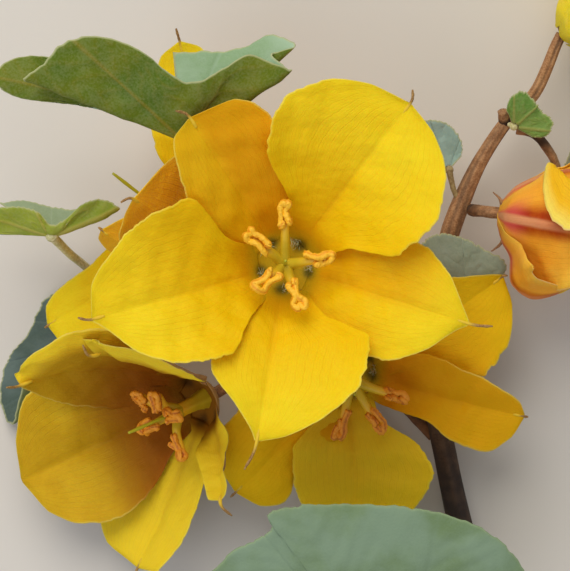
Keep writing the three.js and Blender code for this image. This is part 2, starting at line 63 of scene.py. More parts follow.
# Main stem. A round woody shoot, grey-brown and smooth where it is oldest and felted tan towards its tip,
# with low ridges running along it and a short dead stub above its topmost leaf. Each twig and stalk is a
# thinner felted shoot that leaves the stem or another twig.
bark_dark = "#27190f"
bark_mid = "#4b3626"
felt_tan = "#96673e"
felt_pale = "#bd8f62"
stem_path = [
    [39.7, -78.8, 2.5], [36, -55.3, 3.4], [32.8, -41.4, 5.2], [31, -33.6, 6.8], [29.5, -26.7, 8.4],
    [29.2, -18.1, 10], [29.6, -6.6, 11], [30.6, 6.8, 12], [33.3, 15.3, 12], [37.3, 23.9, 12],
    [41.9, 30.7, 12], [47.4, 36.4, 10.4], [50.1, 41.7, 9.9], [51.7, 45.7, 9.9],
]
stem_radii = [2.5, 2.4, 2.4, 2.3, 2.2, 2, 1.9, 1.7, 1.4, 1.1, 0.95]
cup_floor = 1  # below a bloom's foot, where its stalk ends
stalk_straight = 3.6  # how far below a bloom's foot its stalk has turned towards it
seating = 0.05  # how deep one piece stands in the next
felt_bump = 0.00012  # how high the felt's relief looks, in metres
stem_sides = 36
stem_rows = 200
stem_ridges = 0.16
path_samples = 401
no_shoot_way = [0.3, 0.5, 0.81]  # a direction that no shoot sets out in
wave_counts = (0.6, 1.8)  # the fewest and most waves of a ripple in one unit


def linear(colour):
    """The linear red, green and blue of a colour written as on a screen."""
    shares = [int(colour[i : i + 2], 16) / 255 for i in (1, 3, 5)]
    return tuple(s / 12.92 if s <= 0.04045 else ((s + 0.055) / 1.055) ** 2.4 for s in shares) + (1.0,)


def curve_at(points, shares):
    """Places on a smooth curve through the points, at these shares of the way from first to last."""
    points = np.array(points, float)
    padded = np.vstack([2 * points[0] - points[1], points, 2 * points[-1] - points[-2]])
    gaps = np.linalg.norm(np.diff(padded, axis=0), axis=1) ** 0.5
    spot = np.clip(shares, 0, 1) * (len(points) - 1)
    i = np.minimum(spot.astype(int), len(points) - 2)
    s = (spot - i)[..., None]
    a, b, c, d = (padded[i + k] for k in range(4))
    before, across, after = (gaps[i + k][..., None] for k in range(3))
    start = ((b - a) / before - (c - a) / (before + across) + (c - b) / across) * across
    end = ((c - b) / across - (d - b) / (across + after) + (d - c) / after) * across
    return b + start * s + (3 * (c - b) - 2 * start - end) * s**2 + (2 * (b - c) + start + end) * s**3


def smooth_path(points, count):
    """That many places on the curve, evenly spaced along it."""
    fine = curve_at(points, np.linspace(0, 1, path_samples))
    run = np.r_[0, np.cumsum(np.linalg.norm(np.diff(fine, axis=0), axis=1))]
    even = np.linspace(0, run[-1], count)
    return np.stack([np.interp(even, run, fine[:, k]) for k in range(3)], axis=1)


def unit(vectors):
    return vectors / np.maximum(np.linalg.norm(vectors, axis=-1, keepdims=True), 1e-9)


def ripple(seed, *coordinates, waves=7):
    """Smooth noise of about -1 to 1 over the coordinates, one bump for each unit."""
    rng = np.random.default_rng(seed)
    total = 0
    for _ in range(waves):
        way = unit(rng.normal(size=len(coordinates))) * rng.uniform(*wave_counts)
        total = total + np.sin(2 * math.pi * (sum(w * c for w, c in zip(way, coordinates)) + rng.random()))
    return total / math.sqrt(waves)


def ring_faces(rows, sides):
    """Quads between successive rings of points."""
    row, side = np.meshgrid(np.arange(rows), np.arange(sides), indexing="ij")
    here, beside = row * sides + side, row * sides + (side + 1) % sides
    return np.stack([here, beside, beside + sides, here + sides], axis=-1).reshape(-1, 4).tolist()


def rod(path, radii, sides, rows, relief=None, section=None):
    """A round rod along a smooth path, its radius given by a list spread evenly over its length."""
    centres = smooth_path(path, rows + 1)
    tangents = unit(np.gradient(centres, axis=0))
    normal = np.cross(tangents[0], no_shoot_way)
    normals = []
    for tangent in tangents:
        normal = unit(normal - tangent * normal.dot(tangent))
        normals.append(normal)
    normals = np.array(normals)
    binormals = np.cross(tangents, normals)
    along = np.linspace(0, 1, rows + 1)[:, None]
    turn = (np.arange(sides) * 2 * math.pi / sides)[None, :]
    radius = np.interp(along, np.linspace(0, 1, len(radii)), radii) * np.ones_like(turn)
    height = relief(turn, along) if relief else np.zeros_like(radius)
    share = section(turn) if section else np.ones_like(turn)
    radius = radius * share
    reach = (radius + height)[..., None]
    spots = centres[:, None] + reach * (
        normals[:, None] * np.cos(turn)[..., None] + binormals[:, None] * np.sin(turn)[..., None]
    )
    count = (rows + 1) * sides
    faces = ring_faces(rows, sides)
    faces += [list(range(sides))[::-1], list(range(count - sides, count))]
    return {
        "points": spots.reshape(-1, 3),
        "faces": faces,
        "uv": np.stack([turn / (2 * math.pi) + 0 * along, along + 0 * turn], axis=-1).reshape(-1, 2),
        "marks": {
            "relief": height.ravel(),
            "along": (along + 0 * turn).ravel(),
            "swell": (share + 0 * along).ravel(),
        },
    }


def piece(name, shapes, material, slot, *nodes):
    """One object made of the shapes, riding on the branch and standing for these CAD nodes."""
    start = 0
    faces = []
    for shape in shapes:
        faces += [[i + start for i in face] for face in shape["faces"]]
        start += len(shape["points"])
    points = np.concatenate([shape["points"] for shape in shapes])
    mesh = bpy.data.meshes.new(name)
    mesh.from_pydata(((points + front_middle) * mm).tolist(), [], faces)
    corners = np.empty(len(mesh.loops), int)
    mesh.loops.foreach_get("vertex_index", corners)
    chart = np.concatenate([shape["uv"] for shape in shapes])[corners]
    first = np.empty(len(mesh.polygons), int)
    mesh.polygons.foreach_get("loop_start", first)
    # a face that crosses the seam of its chart is kept in one stretch of it
    high = np.maximum.reduceat(chart[:, 0], first)
    face_of = np.repeat(np.arange(len(first)), np.diff(np.r_[first, len(corners)]))
    chart[:, 0] += (high[face_of] - chart[:, 0]) > 0.5
    mesh.uv_layers.new(name="UVMap").data.foreach_set("uv", chart.astype(np.float32).ravel())
    for label in sorted(set().union(*(shape["marks"] for shape in shapes))):
        values = [shape["marks"].get(label, np.zeros(len(shape["points"]))) for shape in shapes]
        attribute = mesh.attributes.new(label, "FLOAT", "POINT")
        attribute.data.foreach_set("value", np.concatenate(values).astype(np.float32))
    mesh.shade_smooth()
    mesh.materials.append(material)
    made = bpy.data.objects.new(name, mesh)
    scene.collection.objects.link(made)
    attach(made, "root")
    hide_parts(*nodes)


def feed(tree, socket, value):
    """Links the socket to the one that feeds it, or sets its plain value or colour."""
    if isinstance(value, bpy.types.NodeSocket):
        tree.links.new(value, socket)
    else:
        socket.default_value = linear(value) if isinstance(value, str) else value


def node(tree, kind, inputs, **settings):
    """A shader node with its settings and what feeds its inputs."""
    made = tree.nodes.new("ShaderNode" + kind)
    for name, value in settings.items():
        setattr(made, name, value)
    for name, value in inputs.items():
        feed(tree, made.inputs[name], value)
    return made


def mixed(tree, share, first, second):
    """The colour that goes from first to second as share goes from 0 to 1."""
    return node(tree, "Mix", {0: share, 6: first, 7: second}, data_type="RGBA").outputs[2]


def layered(tree, colour, *layers):
    """The colour under layers, each a share and the colour that it lays over what is below."""
    for share, over in layers:
        colour = mixed(tree, share, colour, over)
    return colour


def maths(tree, operation, first, second=0.0, clamp=False):
    return node(tree, "Math", {0: first, 1: second}, operation=operation, use_clamp=clamp).outputs[0]


def product(tree, first, second):
    return maths(tree, "MULTIPLY", first, second)


def ramp(tree, value, low, high, to_low=0.0, to_high=1.0):
    """A value carried smoothly from low..high to to_low..to_high."""
    inputs = {"Value": value, "From Min": low, "From Max": high, "To Min": to_low, "To Max": to_high}
    return node(tree, "MapRange", inputs, interpolation_type="SMOOTHSTEP").outputs[0]


def mark(tree, name):
    return node(tree, "Attribute", {}, attribute_name=name).outputs["Fac"]


def marked(tree, name, *limits):
    """A mark of the mesh, carried smoothly from limit to limit as ramp does."""
    return ramp(tree, mark(tree, name), *limits)


def places(tree):
    return node(tree, "TexCoord", {}).outputs["Object"]


def noise(tree, scale, detail, **more):
    """Noise between 0 and 1 over the places on the object."""
    inputs = {"Vector": places(tree), "Scale": scale, "Detail": detail, **more}
    return node(tree, "TexNoise", inputs).outputs[0]


def effect(name, inputs, outputs):
    """An empty node group with float inputs and outputs, and its two end nodes."""
    group = bpy.data.node_groups.new(name, "ShaderNodeTree")
    for label, value in inputs.items():
        socket = group.interface.new_socket(label, in_out="INPUT", socket_type="NodeSocketFloat")
        socket.default_value = value
    for label in outputs:
        group.interface.new_socket(label, in_out="OUTPUT", socket_type="NodeSocketFloat")
    return group, group.nodes.new("NodeGroupInput"), group.nodes.new("NodeGroupOutput")


def placed(tree, group, **values):
    """The group's node in a material, with its own values."""
    inputs = {label.capitalize(): value for label, value in values.items()}
    return node(tree, "Group", inputs, node_tree=group)


def finish(name, colour, **constants):
    """A material, its tree and its Principled shader, with constants set on the shader's own sockets."""
    material = bpy.data.materials.new(name)
    material.use_nodes = True
    tree = material.node_tree
    shader = tree.nodes["Principled BSDF"]
    shader.inputs["Base Color"].default_value = linear(colour)
    for label, value in constants.items():
        shader.inputs[label.replace("_", " ")].default_value = value
    return material, tree, shader


def colour_and_bump(tree, shader, colour, height, distance):
    """Feeds the shader its colour and a normal from a height."""
    tree.links.new(colour, shader.inputs["Base Color"])
    bump = node(tree, "Bump", {"Height": height, "Distance": distance})
    tree.links.new(bump.outputs[0], shader.inputs["Normal"])


felt, felt_in, felt_out = effect("felt", {"Grain": 2600.0, "Tufts": 500.0}, ["Fibres", "Height"])
fibres = noise(felt, felt_in.outputs["Grain"], 3.0)
tufts = noise(felt, felt_in.outputs["Tufts"], 2.0)
both = maths(felt, "ADD", product(felt, fibres, 0.6), product(felt, tufts, 0.4))
felt.links.new(ramp(felt, both, 0.36, 0.64), felt_out.inputs["Fibres"])
felt.links.new(both, felt_out.inputs["Height"])


def wood_finish(name, old, young, pale):
    """Bark that changes into felt along the shoot, with painted shade darkening its grooves."""
    material, tree, shader = finish(name, old, Roughness=0.75)
    hair = placed(tree, felt, grain=3000.0, tufts=600.0)
    worn = mixed(tree, ramp(tree, noise(tree, 260.0, 4.0), 0.4, 0.62), old, bark_mid)
    grown = mixed(tree, hair.outputs["Fibres"], young, pale)
    # painted shade: the colour darkens where the relief sinks into a groove
    groove_shade = maths(tree, "SUBTRACT", 1.0, marked(tree, "relief", -0.12, 0.1))
    colour = layered(
        tree, worn,
        (marked(tree, "along", 0.3, 0.62), grown),
        (product(tree, groove_shade, 0.55), bark_dark),
    )
    colour_and_bump(tree, shader, colour, hair.outputs["Height"], felt_bump)
    return material


def bark_relief(seed, depth):
    """Low ridges along a shoot."""

    def relief(turn, along):
        ridges = ripple(seed, np.cos(turn) * 1.3, np.sin(turn) * 1.3, along * 3.0)
        lumps = ripple(seed + 1, np.cos(turn) * 0.4, np.sin(turn) * 0.4, along * 9.0)
        return depth * (0.6 * ridges + 0.4 * lumps)

    return relief


bark = wood_finish("bark", bark_dark, felt_tan, felt_pale)
stub_path = [[41.9, 30.7, 12], [41.4, 32.4, 13.5], [41.2, 33, 14]]
stub = rod(stub_path, [1.2, 1.1, 0.95], 20, 8, bark_relief(3, 0.06))
bloom_places = {
    "front": ([0, 3.8, 30], [0, 0, 1]),
    "nodding": ([-14.6, -21, 13], [-0.72, -0.34, 0.6]),
    "low": ([12.1, -15.8, 9], [0.05, -0.25, 0.96]),
    "upper": ([-15.1, 7.7, 15], [-0.74, 0.58, 0.3]),
    "fading": ([41.3, 13.4, 18], [1, -0.14, 0.15]),
    "young": ([53.6, 48.4, 10.7], [0.8, 0.45, 0.3]),
}


def stalk_end(name):
    """The last two points of the stalk of a bloom, which meets the middle of its cup squarely."""
    foot, facing = (np.array(value, float) for value in bloom_places[name])
    return [foot - unit(facing) * away for away in (stalk_straight, cup_floor - seating)]


stem_run = [*stem_path, stalk_end("young")[1]]
stem = rod(stem_run, stem_radii, stem_sides, stem_rows, bark_relief(1, stem_ridges))
piece("main_stem", [stem, stub], bark, "bark", "main_stem")

# Cut end. The stem was cut square across with a sharp blade: pale wood with faint rays, a green ring of
# fresh bark round it and a small darker pith in the middle.
cut_proud = 0.06
cut_foot = 0.985  # the share of the stem's end that the face stands on
ring_shares = np.array([0.01, 0.14, 0.22, 0.6, 0.86, 0.94, 1.0])
end_ring = stem["points"][:stem_sides]
cut_middle = end_ring.mean(0)
cut_outward = unit(cut_middle - stem["points"][stem_sides : 2 * stem_sides].mean(0))
cut_rings = [cut_middle + (end_ring - cut_middle) * share + cut_outward * cut_proud for share in ring_shares]
cut_rings.append(cut_middle + (end_ring - cut_middle) * cut_foot)
cut_disc = {
    "points": np.concatenate(cut_rings),
    "faces": ring_faces(len(ring_shares), stem_sides) + [list(range(stem_sides))[::-1]],
    "uv": np.zeros((len(cut_rings) * stem_sides, 2)),
    "marks": {"share": np.repeat([*ring_shares, 1.0], stem_sides)},
}
wood, tree, shader = finish("cut_wood", "#e3d3a4", Roughness=0.6)
rays = noise(tree, 1800.0, 3.0)
colour = mixed(tree, rays, "#efe2bb", "#cdb682")
colour = mixed(tree, marked(tree, "share", 0.12, 0.25), "#a98752", colour)
colour = mixed(tree, marked(tree, "share", 0.84, 0.94), colour, "#7f9145")
colour_and_bump(tree, shader, colour, rays, 0.00008)
piece("cut_face", [cut_disc], wood, "bark", "main_stem")

# Twigs and bloom stalks. Round shoots under a close tawny felt, paler than the stem. The left twig forks to
# three blooms, and the others bear one bloom or leaf each.
twig_felt = wood_finish("twig_felt", felt_tan, felt_tan, felt_pale)
# A paler copy of the twig felt, used on the right twig only: painted light that lifts it out of the shadow
# it lies in.
felt_painted_light = wood_finish("felt_painted_light", "#b5845a", "#b5845a", "#d8b084")
stalk_radii = [1.2, 1.1, 1.1]
twig_sides = 24
twig_rows = 70
twig_ridges = 0.07
twig_limbs = {
    "twig_left": [
        ([[26.9, -8, 10.6], [16, -4.5, 9], [4, -1, 9], *stalk_end("front")], [1.5, 1.4, 1.3, 1.2, 1.1]),
        ([[6, -1.8, 9], [-2, -12, 7], *stalk_end("nodding")], stalk_radii),
        ([[2, 0.6, 10.4], [-6, 3, 10.6], *stalk_end("upper")], stalk_radii),
    ],
    "stalk_low": [
        ([[28.6, -29, 6.6], [23.6, -23.8, 5.6], [15.5, -17, 3.8], *stalk_end("low")], stalk_radii),
    ],
    "stalk_fading": [([[35.5, 14.3, 12.9], *stalk_end("fading")], stalk_radii)],
    "twig_right": [
        ([[44.1, 29.7, 12.2], [47, 29, 12.6], [50, 26.2, 11], [52.2, 22.5, 8], [53, 19, 6]],
         [1.0, 0.88, 0.8, 0.76]),
    ],
}
for number, (name, limbs) in enumerate(twig_limbs.items()):
    relief = bark_relief(20 + 5 * number, twig_ridges)
    shoots = [rod(path, radii, twig_sides, twig_rows, relief) for path, radii in limbs]
    piece(name, shoots, felt_painted_light if name == "twig_right" else twig_felt, "twig", name)

# Sepals. A flannel bush bloom has no petals: five broad, waxy yellow sepals spread from a shallow cup, each
# creased along its midrib, finely veined, felted outside, and drawn out in a short brown tail.
sepal_thickness = 0.34
rim_share = 0.3  # of that thickness, at the rim
thin_margin = 0.9  # how far in from its margin and foot a sepal gets thinner
cup_radius = 4.6
cup_height = 2
sepal_foot = 4.2
sepal_point = 0.45
foot_taper = 5.7  # how fast a sepal narrows below its foot, under the cup of a half closed bloom
wrap_start = -0.14  # where such a sepal starts, as a share of its length
bowl_radius = 6  # how hollow a sepal is across at its foot
hollow_at_tip = 0.3
groove_depth = 1
groove_width = 2.4
crease_width = 0.9
crinkle_depth = 0.2
fine_depth = 0.045
wave_depth = 0.32
fine_grid = (110, 90)
plain_grid = (64, 52)
width_stations = np.array([0, 0.2, 0.4, 0.6, 0.8, 0.95, 1])
roll_radius = 0.8  # where a margin is rolled outward and back
roll_turn = 2.7
flare_width = 4.4  # how much of a margin bends outward where it flares
# a flaring margin also carries a painted highlight, palest at this bend
flare_highlight_bend = 2.2  # how far it has to bend to be at its palest
cup_radii = [0, 2.4, 3.4, 4.1, 4.6, 5.2, 6.1, 6.7, 9]
cup_levels = [0.7, 1.0, 1.2, 1.5, 1.85, 2.35, 3.1, 3.6, 5.5]
wrap_radii = [1.0, 2.2, 3.6, 4.8, 5.6, 6.4, 9]
snug = [-1.14, -0.95, 0.1, 1.05, 1.8, 2.6, 5.0]  # levels of sepals that wrap close round their cup
eased = [-1.13, -1.0, -0.3, 0.45, 1.0, 1.6, 3.7]  # of one that wraps it more loosely
loose = [-1.13, -1.0, -0.25, 0.4, 0.7, 1.0, 1.9]  # and of one that bulges out from it at once
layering = 0.04  # between one sepal and the next where they are joined
joined_radius = 5.2  # the sepals of a bloom are one up to here
parted_radius = 9.0  # and lie freely from here on
pit_radius = 4.5
pit_depth = 0.3
pit_length = 1.4
pit_spread = 19  # in degrees round the cup


def smooth_through(values):
    """A smooth curve through values at the width stations, which never overshoots them."""
    values = np.array(values, float)
    spans = np.diff(width_stations)
    secants = np.diff(values) / spans
    before, after = np.r_[secants[0], secants], np.r_[secants, secants[-1]]
    turning = before * after <= 0
    slopes = np.where(turning, 0, 2 * before * after / np.where(turning, 1, before + after))

    def curve(t):
        i = np.clip(np.searchsorted(width_stations, t, side="right") - 1, 0, len(spans) - 1)
        s = np.clip((t - width_stations[i]) / spans[i], 0, 1)
        bend = slopes[i] * s * (1 - s) ** 2 - slopes[i + 1] * s**2 * (1 - s)
        return values[i] * (1 + 2 * s) * (1 - s) ** 2 + values[i + 1] * s**2 * (3 - 2 * s) + spans[i] * bend

    return curve


def smoothstep(low, high, value):
    s = np.clip((value - low) / (high - low), 0, 1)
    return s * s * (3 - 2 * s)


def heading(degrees):
    """The level direction at this many degrees."""
    turn = math.radians(degrees)
    return np.array([math.cos(turn), math.sin(turn), 0])


def sepal_surface(
    turn, tip, bend, left, right, lift=(0.5, 0.5), twist=0, keel=groove_depth, rolled=None, **_
):
    """A sepal by the shares u of its length and v of its half-width, in the frame of its bloom."""
    outward = heading(turn)
    side = np.array([outward[1], -outward[0], 0])
    up = np.array([0, 0, 1.0])
    left_width = smooth_through([sepal_foot, *left, sepal_point])
    right_width = smooth_through([sepal_foot, *right, sepal_point])

    def midrib(u):
        reach = (1 - u) ** 2 * cup_radius + 2 * u * (1 - u) * bend[0] + u * u * tip[0]
        rise = (1 - u) ** 2 * cup_height + 2 * u * (1 - u) * bend[1] + u * u * tip[1]
        return reach[..., None] * outward + rise[..., None] * up

    def surface(u, v):
        inside = np.clip(u, 0, 1)
        offset = np.abs(v) * np.where(v < 0, left_width(u), right_width(u))
        offset = offset * (1 + foot_taper * np.minimum(u, 0))
        swell = np.sin(math.pi * inside)
        inward = unit(np.cross(side, midrib(u + 0.01) - midrib(u - 0.01)))
        bowl = 2 * (midrib(u) @ outward + bowl_radius)
        flat = offset
        if rolled:
            crest = np.interp(u, [0.2, 0.7], rolled)
            flat = offset + (np.minimum(offset, crest) - offset) * smoothstep(0.0, 0.16, u) * (v > 0)
        bent = np.minimum((offset - flat) / roll_radius, roll_turn)
        rest = np.maximum(offset - flat - roll_radius * roll_turn, 0)
        hollow = flat**2 / bowl * (1 + (hollow_at_tip - 1) * inside)
        hollow = hollow - roll_radius * (1 - np.cos(bent)) - rest * math.sin(roll_turn)
        offset = flat + roll_radius * np.sin(bent) + rest * math.cos(roll_turn)
        groove = keel * (1 - np.exp(-offset / groove_width)) * np.sqrt(swell)
        height = hollow + groove + np.where(v < 0, lift[0], lift[1]) * v * v * swell**0.6
        roll = math.radians(twist) * smoothstep(0, 0.4, inside)
        aside = np.sign(v) * offset
        across = (aside * np.cos(roll) - height * np.sin(roll))[..., None] * side
        return midrib(u) + across + (aside * np.sin(roll) + height * np.cos(roll))[..., None] * inward

    return surface, left_width, right_width


def pit_share(turns, angle, radius):
    """How far a place in the cup lies in one of the dark nectar pits at the feet of the sepals."""
    off = [(np.degrees(angle) - turn + 180) % 360 - 180 for turn in turns]
    near = sum(np.exp(-((degrees / pit_spread) ** 2)) for degrees in off)
    return near * np.exp(-(((radius - pit_radius) / pit_length) ** 2))


def settle(spots, turns, order, wrapped):
    """The spots of a sepal, brought near the middle of the bloom to the cup that all its sepals share.
    Those of a bloom that is half closed wrap round the outside of its cup."""
    radius = np.hypot(spots[..., 0], spots[..., 1])
    pit = pit_share(turns, np.arctan2(spots[..., 1], spots[..., 0]), radius)
    level = np.interp(radius, cup_radii, cup_levels) + layering * order
    if wrapped:
        level = np.interp(radius, wrap_radii, wrapped) - layering * order
    joined = smoothstep(parted_radius, joined_radius, radius)
    settled = spots.copy()
    settled[..., 2] += (level - spots[..., 2]) * joined - pit_depth * pit
    return settled, pit


def normals_of(spots):
    """The unit normals of a grid of points."""
    return unit(np.cross(np.gradient(spots, axis=1), np.gradient(spots, axis=0)))


def sheet(spots, thickness, uv, marks):
    """A thin closed skin round a grid of points, with the mark back at 1 on its underside."""
    rows, columns = spots.shape[:2]
    half = (thickness / 2)[..., None] * normals_of(spots)
    index = np.arange(rows * columns).reshape(rows, columns)
    corners = [index[:-1, :-1], index[:-1, 1:], index[1:, 1:], index[1:, :-1]]
    front = np.stack(corners, axis=-1).reshape(-1, 4)
    edge = np.concatenate([index[0, :-1], index[:-1, -1], index[-1, :0:-1], index[:0:-1, 0]])
    beside = np.roll(edge, -1)
    edge_faces = np.stack([edge, edge + index.size, beside + index.size, beside], axis=-1)
    both_sides = {name: np.tile(values.ravel(), 2) for name, values in marks.items()}
    return {
        "points": np.concatenate([(spots + half).reshape(-1, 3), (spots - half).reshape(-1, 3)]),
        "faces": np.concatenate([front, front[:, ::-1] + index.size, edge_faces]).tolist(),
        "uv": np.tile(uv.reshape(-1, 2), (2, 1)),
        "marks": {**both_sides, "back": np.repeat([0.0, 1.0], index.size)},
    }


def sepal_shape(sepal, turns, order, seed, grid):
    """A sepal's skin, gently crinkled and waved along its margin. Its marks carry its colour pattern."""
    surface, left_width, right_width = sepal_surface(**sepal)
    wrapped = sepal.get("wrapped")
    start = wrap_start if wrapped else 0
    u, v = np.meshgrid(np.linspace(start, 1, grid[0]), np.linspace(-1, 1, grid[1]), indexing="ij")
    half_width = np.where(v < 0, left_width(u), right_width(u))
    length = np.hypot(*sepal["tip"])
    swell = np.sin(math.pi * np.clip(u, 0, 1)) ** 0.5
    ragged = 0.009 * ripple(seed, u * 8, np.sign(v)) + 0.007 * ripple(seed + 1, u * 21, np.sign(v))
    spots = surface(u, v * (1 + sepal.get("ragged", 1) * ragged * swell))
    crinkle = crinkle_depth * ripple(seed + 3, u * length / 9, v * half_width / 8)
    fine = fine_depth * ripple(seed + 4, u * length / 3.1, v * half_width / 2.7)
    wave = wave_depth * ripple(seed + 5, u * length / 15, np.sign(v) * 3.0) * np.abs(v) ** 3
    margin = (1 - np.abs(v)) * half_width
    flare_left, flare_right = sepal.get("flare", (0, 0))
    from_rim = np.minimum(margin, (1 - u) * length)
    share = np.clip(1 - from_rim / flare_width, 0, 1) ** 1.1 * smoothstep(0.1, 0.3, u)
    flare = (flare_left + (flare_right - flare_left) * smoothstep(-0.3, 0.3, v)) * share
    spots = spots + ((crinkle + fine + wave) * swell - flare)[..., None] * normals_of(spots)
    spots, pit = settle(spots, turns, order, wrapped)
    out = np.maximum(u, 0) * length
    # painted shade: tone darkens each half of the sepal, full near its foot and fading out before its tip
    # unless tone_end carries it further
    tone_left, tone_right = sepal.get("tone", (0, 0))
    amber = tone_left + (tone_right - tone_left) * smoothstep(-0.12, 0.2, v)
    crease = np.exp(-((v * half_width / crease_width) ** 2))
    marks = {
        "margin": margin,
        "side": v,
        "out": out,
        "pit": pit,
        "amber": amber * smoothstep(1.0, 0.55, u / sepal.get("tone_end", 1)),
        # painted shade along the midrib crease, strongest near the foot
        "crease_shade": crease * smoothstep(0.75, 0.15, u),
        "keel": crease,
        "inner": np.full(u.shape, sepal.get("inner", 1.0)),
        # painted highlight: a flaring margin is painted paler the further it bends outward, and paler adds
        # painted light to the whole sepal
        "flare": flare / flare_highlight_bend + sepal.get("paler", 0),
    }
    full = np.clip(np.minimum(margin, out) / thin_margin, 0, 1)
    thickness = sepal_thickness * (rim_share + (1 - rim_share) * full)
    return sheet(spots, thickness, np.stack([v / 2 + 0.5, u], axis=-1), marks), surface


tail_radius = 0.32
tail_root = 0.93  # where a tail starts, as a share of the sepal's length


def tail_shape(surface, length, turn=0, lift=0):
    """The drawn-out tail of a sepal, which carries on from its tip and bends aside and up."""
    root, start = (surface(np.array([u]), np.array([0.0]))[0] for u in (tail_root, 1.0))
    left, right = (surface(np.array([1.0]), np.array([v]))[0] for v in (-1.0, 1.0))
    onward = unit(start - root)
    side = unit(right - left)
    inward = np.cross(side, onward)
    turn, lift = math.radians(turn), math.radians(lift)
    headed = unit(onward * math.cos(turn) + side * math.sin(turn) + inward * math.tan(lift))
    middle = start + onward * length * 0.25 + headed * length * 0.15
    end = middle + headed * length * 0.6
    radii = tail_radius * np.array([0.7, 1.1, 1, 0.8, 0.75, 0.8, 0.4])
    return rod([root, start, middle, end], radii, 12, 28, bark_relief(int(length * 10), 0.04))
